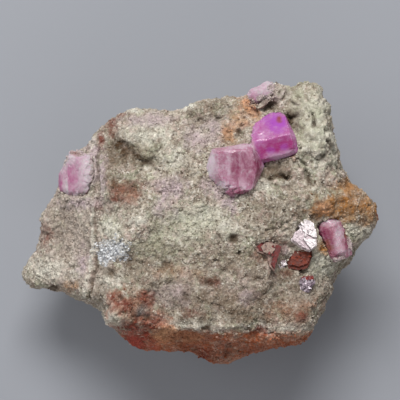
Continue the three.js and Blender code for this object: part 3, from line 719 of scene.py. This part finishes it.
def placed_relief(across, down):
    """Height of the pits, knobs, cracks, ribs and steps that are placed by the photograph."""
    rise = np.zeros(len(across))
    for x, y, wide, tall, depth in PITS:
        away = np.hypot((across - x) / wide, (down - y) / tall)
        rise -= depth * MM * unit(PIT_END - away)
    for line, wide, depth in CRACKS:
        rise -= depth * MM * unit(CRACK_END - line_distance(across, down, line) / wide)
    for (x0, y0), (x1, y1), drop, (start_reach, end_reach) in STEPS:
        run = np.hypot(x1 - x0, y1 - y0)
        along = ((across - x0) * (x1 - x0) + (down - y0) * (y1 - y0)) / run
        below = ((down - y0) * (x1 - x0) - (across - x0) * (y1 - y0)) / run
        ends = unit(np.minimum(along, run - along) / STEP_END + 1)
        reach = np.interp(along, [0, run], [start_reach, end_reach])
        rise -= drop * MM * ends * unit(below / STEP_RAMP) * unit(1 - below / reach)
    return rise


def search_tree(piece):
    """A piece's faces, ready to be searched."""
    faces = [tuple(face.vertices) for face in piece.data.polygons]
    return BVHTree.FromPolygons(points_of(piece.data).tolist(), faces)


def nearest_on(points, pieces, reach):
    """Distance from each point to the pieces, infinite beyond the reach, and the nearest point on them."""
    away = np.full(len(points), np.inf)
    nearest = points.copy()
    for piece in pieces:
        corners = points_of(piece.data)
        close = np.all((points > corners.min(0) - reach) & (points < corners.max(0) + reach), axis=1)
        tree = search_tree(piece)
        for i in np.nonzero(close)[0]:
            spot, _, _, distance = tree.find_nearest(points[i], reach)
            if spot is not None and distance < away[i]:
                away[i], nearest[i] = distance, spot
    return away, nearest


def banked_up(points, crystals):
    """The rock's points, raised unevenly against the sides of the crystals."""
    uneven = BANK_MEAN + layered_noise(points, 55, (0.35, 3.4 * MM), (0.25, 1.4 * MM))
    raised = points.copy()
    for crystal in crystals:
        away, _ = nearest_on(points, [crystal], BANK_REACH)
        share = unit(1 - away / BANK_REACH) ** BANK_CURVE
        raised[:, 2] += BANKS[crystal.name] * share * uneven
    return raised


def covered(points, some, pieces):
    """Which of some points lie under a piece."""
    under = np.zeros(len(points), bool)
    for piece in pieces:
        tree = search_tree(piece)
        for i in np.nonzero(some & ~under)[0]:
            under[i] = tree.ray_cast(points[i], (0, 0, 1))[0] is not None
    return under


def make_rock(crystals, books):
    """The matrix: the CAD lump with its facets smoothed away, broken, stained and closed on its pieces."""
    pieces = crystals + books
    mesh = thinned_behind(evened_mesh("matrix", ROCK_VOXEL), ROCK_TRIANGLES)
    rests = points_of(mesh)[:, 2] < REST_LEVEL
    plain = banked_up(points_of(mesh), crystals)
    away, nearest = nearest_on(plain, pieces, SEAM_REACH)
    calm = unit((away / SEAM_REACH - SEAM_STILL) / (1 - SEAM_STILL))
    points = smoothed(mesh, plain, ROCK_ROUNDS)
    points = plain + (points - plain) * np.where(rests, 0, calm)[:, None]
    move_points(mesh, points)
    normals = normals_of(mesh)
    across, down = seen_at(points)
    front = unit((normals[:, 2] - FRONT_FROM) / FRONT_RUN)
    ragged = layered_noise(points, 50, (0.45, 3.6 * MM), (0.35, 1.5 * MM), (0.25, 0.7 * MM))
    crumbly = front * patches(across, down, CRUMBLY, ragged) + BEHIND_CRUMBLY * (1 - front)
    rise = broken_relief(points, crumbly) + front * placed_relief(*wavered(points, across, down))
    rise *= calm
    moved = points + normals * rise[:, None]
    seam = unit(1 - 2 * (away / SEAM_REACH - SEAM_CLOSED))
    gap = np.minimum(away, SEAM_REACH)[:, None]
    moved += (nearest - plain) * (seam[:, None] * (1 + SEAM_OVERLAP / np.maximum(gap, SEAM_LEAST)))
    moved[rests] = points[rests]
    moved[:, 2] = np.maximum(moved[:, 2], 0)
    move_points(mesh, moved)
    smooth_shaded(mesh)
    store_stains(mesh, points, normals, front, ragged)
    store(mesh, "crumbly", crumbly)
    # Grime and painted shade: the further a point lies below its smoothed surroundings, the darker it is
    level, dirt_and_painted_shade = rise[:, None], np.zeros(len(rise))
    for rounds, full in (NARROW_CAVITY, WIDE_CAVITY):
        level = smoothed(mesh, level, rounds)
        dirt_and_painted_shade = np.maximum(dirt_and_painted_shade, unit((level[:, 0] - rise) / full))
    store(mesh, "cavity", dirt_and_painted_shade)
    close = nearest_on(moved, crystals, SEAM_REACH)[0] < SEAM_CLOSED * SEAM_REACH
    store(mesh, "seam", close & ~covered(moved, close, crystals))
    return add_piece("matrix_rock", mesh, rock_material(), "matrix")


def store_stains(mesh, points, normals, front, ragged):
    """Keeps each stain's strength, painted shade and highlights among them: placed by the photograph on the
    front, scattered on the rest.
    """
    across, down = seen_at(points)
    wild = layered_noise(points, 60, (1.0, 22 * MM), (0.5, 7 * MM))
    torn = ragged + 0.6 * wild
    flank = unit((down - FLANK_FROM) / FLANK_RUN + 0.5 * torn)
    flank *= unit((-normals[:, 1] - 0.15) / 0.4 + 0.9 * torn)
    flank *= unit((points[:, 2] - FLANK_FADES) / FLANK_FADE_RUN + 1.4 * torn)
    hidden = 1 - front
    on_flank = {
        "earth": unit(0.85 + 0.5 * ragged),
        "rust": np.clip(1.2 * wild, 0, 0.45),
        "ochre": np.clip(-0.5 * wild, 0, 0.35),
    }
    behind = {
        "earth": np.clip(2 * wild - 0.6, 0, 0.8),
        "rust": np.clip(2 * wild - 1.4, 0, 0.7),
        "ochre": np.clip(-2 * wild - 1.1, 0, 0.7),
    }
    swayed = wavered(points, across, down)
    for name, spots in STAINS.items():
        share = patches(across, down, spots, ragged, 1.0)
        for line, wide, strength in STAIN_LINES.get(name, []):
            beside = unit(STAIN_LINE_END - line_distance(*swayed, line) / wide)
            share = np.maximum(share, strength * beside)
        share = np.maximum(front * share, flank * on_flank.get(name, 0))
        store(mesh, name, np.maximum(share, hidden * behind.get(name, 0)))


# Zones of the crystals: pixel x and y of the middle, half-width, half-height and strength.
# Those in SHAPE_ZONES shape a crystal, and the others colour it; the milky zones also hold painted
# highlights, and some deep zones painted shade.
PAIR_ZONES = {
    "deep": [
        (278, 147, 15, 8, 1.0), (264, 154, 8, 8, 0.95), (291, 145, 5, 9, 0.9), (236, 165, 5.5, 16, 0.85),
        (246, 168, 5, 14, 0.5), (257, 166, 6, 15, 1.0), (236, 193, 11, 5, 0.9), (251, 180, 6, 7, 0.7),
        (222, 162, 3.5, 10, 0.4), (270, 143, 4, 4, 0.5), (284, 139, 5, 3, 0.7), (243, 158, 3, 6, 0.7),
    ],
    "milk_and_highlight": [
        (210, 166, 7, 17, 1.0), (229, 164, 1.8, 13, 0.45), (232, 146, 18, 2.5, 0.6), (263, 168, 1.5, 8, 0.6),
        # Among the milky zones, 231, 186.5 is a painted glint, and 279, 156 and 288, 154 are painted light on
        # the violet crystal's face that turns down
        (243, 184, 4, 6, 0.5), (220, 186, 6, 7, 0.9), (231, 186.5, 5, 1.2, 1.0), (279, 156, 13, 3.5, 1.0),
        (288, 154, 8, 4, 0.9), (252, 128, 6, 9, 0.3), (263, 134, 6, 5, 0.35), (293, 136, 3, 4, 0.6),
    ],
    "purple": [
        (277, 122, 9, 9, 0.85), (266, 118, 8, 5, 0.45), (284, 147, 4, 3.5, 0.5), (271, 150, 4, 3, 0.4),
    ],
    "rust": [(279, 119, 3, 3.5, 0.85)],
    "broken": [
        (233, 194, 14, 6, 0.9), (213, 186, 8, 7, 0.5), (231, 187, 6, 1.5, 0.8), (248, 128, 5, 12, 0.8),
        (266, 135, 6, 4, 0.4), (281, 112, 5, 4, 0.7), (294, 153, 4, 4, 0.6),
    ],
    "stone": [(216, 192, 6, 4, 0.5), (243, 199, 6, 2.5, 0.7), (246, 124, 3, 8, 0.5)],
    "soft": [
        (257, 139, 9, 13, 1.0), (250, 150, 4, 6, 0.6), (216, 186, 10, 9, 0.9), (293, 152, 6, 6, 0.6),
        (214, 166, 5, 16, 0.5), (234, 147, 14, 3, 0.45), (258, 166, 4, 14, 0.4),
    ],
}
ROSE_ZONES = {
    # On this crystal, the deep zone at 347, 241 is painted shade along its right edge, and the milky ridge at
    # 339, 238 is partly a painted highlight
    "deep": [(324, 234, 6, 11, 1.0), (331, 247, 5, 9, 0.8), (347, 241, 2, 11, 0.9), (338, 257, 7, 3, 0.6)],
    "milk_and_highlight": [(330, 222, 10, 4, 0.9), (339, 238, 4, 13, 1.0), (342, 251, 4, 6, 0.7)],
    "rust": [(323, 247, 7, 6, 1.0), (347, 233, 2, 5, 0.7)],
    "broken": [(321, 250, 6, 7, 1.0), (341, 259, 8, 4, 0.9), (348, 236, 3, 8, 0.6), (320, 226, 3, 8, 0.5)],
    "stone": [(319, 252, 4, 4, 0.7), (342, 260, 7, 2.5, 0.7), (350, 240, 2, 8, 0.5)],
}
LEFT_ZONES = {
    "deep": [(60, 186, 3, 12, 1.0), (72, 180, 6, 13, 0.9), (78, 165, 7, 9, 0.4)],
    "milk_and_highlight": [(66, 158, 8, 6, 0.8), (88, 172, 8, 22, 0.8), (66.5, 187, 1.5, 9, 1.0), (82, 194, 10, 5, 0.7)],
    "rust": [(75, 153, 5, 2, 0.6)],
    "broken": [(78, 197, 20, 5, 0.5), (93, 172, 5, 28, 0.5), (76, 152, 16, 4, 0.6), (62, 164, 5, 7, 0.5)],
    "stone": [(95.5, 172, 4, 28, 1.0), (80, 199, 18, 3, 1.0), (84, 151, 14, 3, 0.8), (64, 158, 4, 6, 0.5)],
}
TOP_ZONES = {
    "deep": [(255, 98, 5, 5, 0.6)],
    "milk_and_highlight": [(270, 86, 6, 5, 0.9), (262, 92, 8, 3, 0.4)],
    "rust": [(252, 101, 3, 3, 0.6)],
    "broken": [(250, 99, 5, 8, 0.5), (275, 86, 5, 6, 0.6), (264, 99, 10, 4, 0.4), (260, 86, 6, 3, 0.3)],
    "stone": [(276, 88, 6, 7, 1.0), (250, 102, 4, 3, 0.7), (266, 98, 9, 3, 0.8)],
}
SHAPE_ZONES = ("broken", "soft")
VIOLET_SEAM = ((253, 143), (262, 164))  # pixels of the line where the two joined crystals meet
VIOLET_RUN = 3  # pixels over which one colour turns into the other there
EDGE_FULL = 0.2 * MM  # an edge that smoothing moves this far is all edge
CRUMB_LILAC = 0.8  # how strong the lilac stain is on the crumbs that lie on a crystal


def make_crystal(name, node, material, zones, sugar):
    """A crystal with flat faces, chipped edges, broken ends, colour zones and sugary lumps."""
    mesh = evened_mesh(node, CRYSTAL_VOXEL)
    points = smoothed(mesh, points_of(mesh), CRYSTAL_ROUNDS)
    across, down = seen_at(points)
    ragged = layered_noise(points, 73, (0.3, 2 * MM), (0.3, 0.9 * MM))
    share = {zone: patches(across, down, spots, ragged, 0.9) for zone, spots in zones.items()}
    if "soft" in share:
        points += share["soft"][:, None] * (smoothed(mesh, points, SOFT_ROUNDS) - points)
    move_points(mesh, points)
    normals = normals_of(mesh)
    worn = np.linalg.norm(smoothed(mesh, points, EDGE_ROUNDS) - points, axis=1)
    edge = unit(worn / EDGE_FULL)
    nearest, _ = cell_noise(points, 3.4 * MM, 72)
    rise = layered_noise(points, 70, (0.06 * MM, 1.8 * MM), (0.04 * MM, 0.8 * MM))
    rise -= 0.3 * MM * unit(1 - nearest / 0.2)
    rise -= 0.6 * MM * edge * unit(smooth_noise(points, 1.6 * MM, 75) + 0.05)
    rise -= share["broken"] * (0.2 * MM + 0.7 * np.abs(chips(points, 2.4 * MM, 78)))
    lumpy = chips(points, 1.7 * MM, 76) / MM + lumps(points, 1.3 * MM, 77) - 0.5
    rise += sugar * (0.3 + 0.7 * share["milk_and_highlight"]) * lumpy
    move_points(mesh, points + normals * rise[:, None])
    smooth_shaded(mesh)
    for zone, values in share.items():
        if zone not in SHAPE_ZONES:
            store(mesh, zone, values)
    store(mesh, "edge", np.maximum(edge, 0.6 * share["broken"]))
    store(mesh, "lilac", np.full(len(points), CRUMB_LILAC))
    (x0, y0), (x1, y1) = VIOLET_SEAM
    side = ((across - x0) * (y1 - y0) - (down - y0) * (x1 - x0)) / np.hypot(x1 - x0, y1 - y0)
    store(mesh, "violet", unit(side / VIOLET_RUN + 0.5))
    return add_piece(name, mesh, material, node)


# Crystal finishes: what gives the colour, transmission, roughness, and density and colour of the absorption
CRYSTAL_FINISHES = {
    "violet_crystal": (pair_colour, 0.4, 0.14, 70.0, (0.93, 0.5, 0.82, 1)),
    "rose_crystal": (rose_colour, 0.35, 0.2, 70.0, (0.9, 0.5, 0.62, 1)),
    "pale_crystal": (pale_colour, 0.3, 0.6, 60.0, (0.92, 0.7, 0.84, 1)),
}
# Crystals: the solid that each replaces, its finish and slot, its zones and the height of its sugary lumps
CRYSTALS = {
    "violet_pair": ("crystal_pair", "violet_crystal", PAIR_ZONES, 0),
    "rose_crystal": ("right_crystal", "rose_crystal", ROSE_ZONES, 0.1 * MM),
    "lilac_crystal": ("left_crystal", "pale_crystal", LEFT_ZONES, 0.25 * MM),
    "edge_crystal": ("top_crystal", "pale_crystal", TOP_ZONES, 0.1 * MM),
}

# Mica finishes: dark, light and spot colours on screen, how metallic, how rough, and which way the streaks of
# painted step shadow run
SLANT = (0.8, -0.6, 0)
MICA_FINISHES = {
    "silver_mica": ((138, 120, 126), (242, 235, 236), (206, 178, 188), 0.2, 0.42, SLANT),
    "flakes": ((122, 124, 130), (244, 246, 248), (200, 204, 210), 0.2, 0.42, SLANT),
    "brown_mica": ((66, 26, 18), (132, 60, 43), (176, 116, 92), 0.0, 0.6, SLANT),
    "red_mica": ((80, 36, 34), (132, 62, 60), (154, 134, 123), 0.0, 0.6, (0.4, -1, 0)),
    "lavender_mica": ((98, 78, 92), (226, 214, 222), (112, 38, 30), 0.3, 0.3, (0.6, 0.8, 0)),
}
# Mica books: the finish and the slot, how much the sheets lean, how many chips lie on the book,
# how far it stands above the solid, and its layers from the lowest up: the pixels of each outline,
# how many sheets, how light they are and how much of the spot's colour they have
MICA = {
    "silver_mica": {
        "finish": "silver_mica", "slot": "silver_mica", "lean": 0.08, "loose": 4, "raised": 0.2 * MM,
        "layers": [
            ([
                (299, 217), (305, 216), (315, 222), (316, 228), (317.5, 234), (317.5, 245), (311.5, 250),
                (304, 247), (298, 242.5), (291, 238.5), (295.5, 232), (301, 227), (298, 223),
            ], 3, 0.9, 0.0),
            ([
                (295, 231), (300, 229), (315, 238), (317, 245), (311.5, 249.5), (304, 246.5), (292, 238.5),
            ], 2, 0.7, 0.3),
            ([(302, 226), (306, 224), (316, 229), (317, 237), (313, 237), (303, 230.5)], 3, 0.95, 0.0),
            ([(303, 238), (315, 239.5), (317, 245), (311.5, 249)], 2, 0.95, 0.0),
        ],
    },
    "brown_mica": {
        "finish": "brown_mica", "slot": "brown_mica", "lean": 0.05, "loose": 10, "raised": 0.6 * MM,
        "layers": [
            ([
                (290, 247), (297, 247.5), (311.5, 249), (312.5, 256), (309.5, 262), (307.5, 268), (298, 270),
                (288, 268.5), (287, 262), (289.5, 256),
            ], 4, 0.4, 0.0),
            ([
                (295, 249), (311, 250), (311, 256), (308, 264), (299, 267), (289.5, 265), (291, 256),
            ], 3, 0.75, 0.0),
        ],
    },
    "red_mica": {
        "finish": "red_mica", "slot": "brown_mica", "lean": 0.05, "loose": 3, "raised": 0,
        "layers": [
            ([
                (255.5, 246), (260.5, 241.5), (267.5, 239), (275, 241), (282.5, 247), (279, 257), (277, 264),
                (275.5, 271), (271, 267), (268.5, 260), (268, 254.5), (258, 251),
            ], 2, 0.6, 0.75),
            ([
                (256.5, 246.5), (261, 242), (268, 239.5), (274.5, 241.5), (277, 246), (273, 253),
                (260, 250.5),
            ], 1, 0.5, 0.0),
            ([
                (275.5, 245), (279, 244), (281.5, 247), (278, 257), (276.5, 264), (274.5, 269), (271, 264),
                (274, 254),
            ], 2, 0.45, 0.0),
            ([
                (261, 246.5), (265, 242.5), (271, 241.5), (275, 244.5), (275, 249.5), (271, 254),
                (263.5, 252),
            ], 2, 0.5, 1.0),
        ],
    },
    "flake_mica": {
        "finish": "silver_mica", "slot": "silver_mica", "lean": 0.08, "loose": 3, "raised": 0.2 * MM,
        "layers": [
            ([
                (281, 259.5), (286.5, 259), (287, 263), (284.5, 267.5), (280, 268.5), (278.5, 264.5),
            ], 3, 0.8, 0.3),
            ([(281, 261), (286, 260), (285, 264), (281, 265)], 2, 1.0, 0.0),
        ],
    },
    "violet_mica": {
        "finish": "lavender_mica", "slot": "silver_mica", "lean": 0.07, "loose": 26, "raised": 0.2 * MM,
        "layers": [
            ([
                (300.5, 276.5), (313, 275.5), (316, 282.5), (311.5, 288.5), (309, 293.5), (301.5, 290),
                (298, 284),
            ], 2, 0.4, 0.0),
            ([(301, 276.5), (313, 275.5), (314, 279.5), (301.5, 280.5)], 3, 0.5, 1.0),
        ],
    },
}
SHEET = 0.24 * MM  # thickness of a sheet
SHEET_SIZES = (0.93, 1.0)  # least and greatest size of a sheet, as a share of its outline
SHEET_TONES = (-0.15, 0.1)  # how much darker or lighter than its layer a sheet may be
EDGE_STEP = 0.5 * MM  # length of the steps that a sheet's edge is broken into
EDGE_BREAK = 0.09 * MM  # how far they stand in and out
MICA_CHIP = (0.4 * MM, 1.1 * MM)  # least and greatest reach of a loose chip
CHIP_CORNERS = 5
CHIP_TOP = 0.5 * SHEET  # how far a chip's top stands above the top sheet
CHIP_THICK = 0.7 * SHEET
CHIP_LEAN = 0.3
CHIP_SPREAD = 0.6  # below 1, chips lie nearer to the corners of the book


def book_plane(node):
    """A point on the top of a CAD book, the way that it faces, and how deep the book goes."""
    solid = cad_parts[node].data
    top = max(solid.polygons, key=lambda face: face.normal.z * face.area)
    middle, faces = np.array(top.center), np.array(top.normal)
    depth = ((points_of(solid) - middle) @ faces).min()
    return middle, faces, -depth


def on_plane(outline, middle, faces):
    """The points of a plane that show at the outline's pixels."""
    eye = np.array([*LOOK_AT, CAMERA_HEIGHT])
    pixels = np.array(outline, float)
    scale = PIXEL / (CAMERA_HEIGHT - WIDEST_LEVEL)
    across, up = (pixels[:, 0] - PHOTO_SIDE / 2) * scale, (PHOTO_SIDE / 2 - pixels[:, 1]) * scale
    ways = np.stack([across, up, -np.ones(len(pixels))], axis=1)
    reach = ((middle - eye) @ faces) / (ways @ faces)
    return eye + ways * reach[:, None]


def ragged_edge(polygon):
    """The polygon with its sides broken into short, uneven steps."""
    points = []
    for here, there in zip(polygon, np.roll(polygon, -1, axis=0)):
        steps = max(1, int(np.linalg.norm(there - here) / EDGE_STEP))
        for step in range(steps):
            points.append(here + (there - here) * step / steps)
    return np.array(points) + random.normal(0, EDGE_BREAK, (len(points), 2))


class Sheets:
    """Mica sheets on one plane, gathered into one mesh."""

    def __init__(self, middle, faces):
        right = np.cross([0, 1, 0], faces)
        right /= np.linalg.norm(right)
        self.middle, self.faces = middle, faces
        self.axes = np.stack([right, np.cross(faces, right), faces])
        self.verts, self.shapes, self.tones, self.spots = [], [], [], []

    def flattened(self, outline):
        """An outline's pixels as points of the plane."""
        points = on_plane(outline, self.middle, self.faces)
        return ((points - self.middle) @ self.axes.T)[:, :2][::-1]

    def add(self, ring, bottom, top, tone, spot):
        """A sheet between two heights, each one number or a number for each point of the ring."""
        start, count = len(self.verts), len(ring)
        for level in (bottom, top):
            flat = np.column_stack([ring, np.broadcast_to(level, count)])
            self.verts += list(flat @ self.axes + self.middle)
        self.shapes.append([start + i for i in reversed(range(count))])
        self.shapes.append([start + count + i for i in range(count)])
        for i in range(count):
            j = (i + 1) % count
            self.shapes.append([start + i, start + j, start + count + j, start + count + i])
        self.tones += [tone] * (2 * count)
        self.spots += [spot] * (2 * count)

    def mesh(self, name):
        made = bpy.data.meshes.new(name)
        made.from_pydata(self.verts, [], self.shapes)
        store(made, "tone", self.tones)
        store(made, "spot", self.spots)
        return made


def make_book(node, micas, finish, slot, lean, loose, raised, layers):
    """A mica book: thin cleaved sheets on a root in the rock, with loose chips of mica on top."""
    middle, faces, depth = book_plane(node)
    sheets = Sheets(middle, faces)
    total = sum(count for _, count, _, _ in layers)
    high = raised - total * SHEET
    bottom = -depth
    for outline, count, light, spot in layers:
        polygon = sheets.flattened(outline)
        centre = polygon.mean(axis=0)
        for _ in range(count):
            high += SHEET
            ring = ragged_edge(centre + (polygon - centre) * random.uniform(*SHEET_SIZES))
            top = high + (ring - centre) @ random.normal(0, lean, 2)
            sheets.add(ring, bottom, top, light + random.uniform(*SHEET_TONES), spot)
            bottom = high - SHEET
    widest = sheets.flattened(layers[0][0])
    for _ in range(loose):
        share = random.dirichlet(np.full(len(widest), CHIP_SPREAD))
        angles = np.sort(random.uniform(0, 2 * np.pi, CHIP_CORNERS))
        reach = random.uniform(*MICA_CHIP, (CHIP_CORNERS, 1))
        ring = share @ widest + reach * np.column_stack([np.cos(angles), np.sin(angles)])
        top = high + CHIP_TOP + (ring - ring.mean(axis=0)) @ random.normal(0, CHIP_LEAN, 2)
        sheets.add(ring, top - CHIP_THICK, top, random.uniform(0.0, 1.0), 0.0)
    return add_piece(node + "_book", sheets.mesh(node), micas[finish], node)


# Grains: the least and the greatest half-width, the level below which none lie, to keep off the floor,
# their forms, where fewer lie, and how many of each kind there are
COARSE = (0.25 * MM, 0.6 * MM)
FINE = (0.12 * MM, 0.28 * MM)
LOWEST_GRAIN = 1.5 * MM
GRAIN_SQUASH = (0.6, 1.1)  # least and greatest size along each axis of a grain
GRAIN_ROUGH = 0.14  # how far a grain's corners stand in and out, as a share of its size
OFF_LUMPS = 0.75  # share of the grains that lumps and gaps do without
DOWNWARD = 0.4  # share of the grains that faces looking down have
GRAIN_COUNTS = {
    "rock_grains": 9_000, "rock_sugar": 9_500, "seam_crumbs": 1_600, "mica_flakes": 420,
    "violet_pair_crumbs": 300, "rose_crystal_crumbs": 120, "lilac_crystal_crumbs": 700,
    "edge_crystal_crumbs": 260,
}
SMALLEST_AREA = 1e-15  # keeps a triangle of no size from dividing by nothing


def all_over(rock):
    """Weight of grains that lie all over the rock, thickest on the faces that look up, thinnest on lumps."""
    plain = 1 - OFF_LUMPS * stored(rock.data, "crumbly")

    def weight(lowest, out, point):
        return plain[point] * np.where(out[:, 2] > 0, 1.0, DOWNWARD) * (lowest > LOWEST_GRAIN)

    return weight


def where(piece, name):
    """Weight of grains that lie where a number stored on a piece is high, on the faces that look up."""
    values = stored(piece.data, name)

    def weight(lowest, out, point):
        return values[point] * (out[:, 2] > 0) * (lowest > LOWEST_GRAIN)

    return weight


def surface_spots(mesh, weight_of, count):
    """Random places on a mesh: points, the way the surface faces there and the nearest mesh point."""
    mesh.calc_loop_triangles()
    corners = read(mesh.loop_triangles, "vertices", 3, np.int64)
    points = points_of(mesh)
    a, b, c = (points[corners[:, k]] for k in range(3))
    cross = np.cross(b - a, c - a)
    area = np.linalg.norm(cross, axis=1)
    out = cross / np.maximum(area, SMALLEST_AREA)[:, None]
    lowest = np.minimum(np.minimum(a, b), c)[:, 2]
    weight = area * weight_of(lowest, out, corners[:, 0])
    chosen = random.choice(len(area), count, p=weight / weight.sum())
    u, v = random.random((2, count))
    flip = u + v > 1
    u[flip], v[flip] = 1 - u[flip], 1 - v[flip]
    spots = a[chosen] + u[:, None] * (b - a)[chosen] + v[:, None] * (c - a)[chosen]
    return spots, out[chosen], corners[chosen, 0]


def facing_turns(ways):
    """Turns that set a shape's third axis along each way, with a random spin about it."""
    ways = ways / np.linalg.norm(ways, axis=1)[:, None]
    side = np.cross(ways, random.standard_normal(ways.shape))
    side /= np.linalg.norm(side, axis=1)[:, None]
    return np.stack([side, np.cross(ways, side), ways], axis=2)


def make_grains(name, carrier, material, sizes, weight_of, flat=1.0, lean=9.0, sunk=0.1):
    """Angular grains or flakes on the rock or on a crystal, all in one mesh."""
    count = GRAIN_COUNTS[name]
    ball = bmesh.new()
    bmesh.ops.create_icosphere(ball, subdivisions=1, radius=1.0)
    corners = np.array([corner.co[:] for corner in ball.verts])
    sides = np.array([[corner.index for corner in side.verts] for side in ball.faces])
    ball.free()
    spots, out, point = surface_spots(carrier.data, weight_of, count)
    size = random.uniform(*sizes, count)
    squash = random.uniform(*GRAIN_SQUASH, (count, 1, 3)) * (1, 1, flat)
    shape = (corners + random.normal(0, GRAIN_ROUGH, (count, len(corners), 3))) * squash
    turns = facing_turns(out + lean * random.standard_normal((count, 3)))
    turned = np.einsum("nij,nkj->nki", turns, shape * size[:, None, None])
    verts = (spots - out * (sunk * size)[:, None])[:, None] + turned
    faces = np.arange(count)[:, None, None] * len(corners) + sides
    mesh = bpy.data.meshes.new(name)
    mesh.from_pydata(verts.reshape(-1, 3).tolist(), [], faces.reshape(-1, 3).tolist())
    store(mesh, "tone", np.repeat(random.random(count), len(corners)))
    store(mesh, "spot", np.zeros(len(mesh.vertices)))
    for stain in STAINS:
        if stain in carrier.data.attributes:
            store(mesh, stain, np.repeat(stored(carrier.data, stain)[point], len(corners)))
    return add_piece(name, mesh, material)


# The stage: half the floor's side, the surround's colour and strength, and the lights with
# their places and sizes in metres, their watts and their colours
FLOOR_HALF = 2.0
SURROUND = ((0.93, 0.96, 1.0, 1), 0.26)
LIGHTS = {
    "key": ((-0.1, 1.0, 1.15), (0.9, 0.45), 25.0, (1.0, 0.985, 0.965)),
    "side": ((-1.1, 0.2, 0.8), (0.8, 0.8), 4.0, (1.0, 0.99, 0.98)),
    "fill": ((0.15, -1.1, 0.7), (1.2, 0.8), 3.5, (1.0, 0.93, 0.88)),
}


def make_camera():
    """A camera straight above the specimen, with the photograph's frame."""
    camera = bpy.data.cameras.new("camera")
    camera.sensor_width = SENSOR
    camera.lens = SENSOR * (CAMERA_HEIGHT - WIDEST_LEVEL) / (PIXEL * PHOTO_SIDE)
    holder = new_object("camera", camera)
    holder.location = (*LOOK_AT, CAMERA_HEIGHT)
    bpy.context.scene.camera = holder


def make_light(name, place, size, power, colour):
    """A wide soft light that faces the specimen."""
    light = bpy.data.lights.new(name, "AREA")
    light.shape = "RECTANGLE"
    light.size, light.size_y = size
    light.energy = power
    light.color = colour
    holder = new_object(name, light)
    holder.location = place
    holder.rotation_euler = (Vector((0, 0, WIDEST_LEVEL)) - Vector(place)).to_track_quat("-Z", "Y").to_euler()


def make_stage():
    """Pale floor, a wide soft light beyond the upper edge, two weak ones, and a dim even surround."""
    corners = [(x * FLOOR_HALF, y * FLOOR_HALF, 0) for x, y in ((-1, -1), (1, -1), (1, 1), (-1, 1))]
    mesh = bpy.data.meshes.new("floor")
    mesh.from_pydata(corners, [], [(0, 1, 2, 3)])
    mesh.materials.append(floor_material())
    floor = new_object("floor", mesh)
    for name, light in LIGHTS.items():
        make_light(name, *light)
    world = bpy.data.worlds.new("surround")
    world.use_nodes = True
    background = world.node_tree.nodes["Background"]
    background.inputs["Color"].default_value, background.inputs["Strength"].default_value = SURROUND
    bpy.context.scene.world = world
    bpy.context.scene.view_settings.view_transform = "Standard"


make_camera()
make_stage()

glassy = {name: crystal_material(name, *finish) for name, finish in CRYSTAL_FINISHES.items()}
crystals = [
    make_crystal(name, node, glassy[slot], zones, sugar)
    for name, (node, slot, zones, sugar) in CRYSTALS.items()
]

micas = {name: mica_material(name, *finish) for name, finish in MICA_FINISHES.items()}
books = [make_book(node, micas, **book) for node, book in MICA.items()]

rock = make_rock(crystals, books)
grains = grain_material()
flakes, in_patch = micas["flakes"], where(rock, "silver")
make_grains("rock_grains", rock, grains, COARSE, all_over(rock), sunk=0.2)
make_grains("rock_sugar", rock, grains, FINE, all_over(rock))
make_grains("seam_crumbs", rock, grains, COARSE, where(rock, "seam"), sunk=-0.1)
make_grains("mica_flakes", rock, flakes, COARSE, in_patch, flat=0.15, lean=0.35, sunk=-0.1)
for crystal in crystals:
    make_grains(crystal.name + "_crumbs", crystal, grains, COARSE, where(crystal, "stone"))
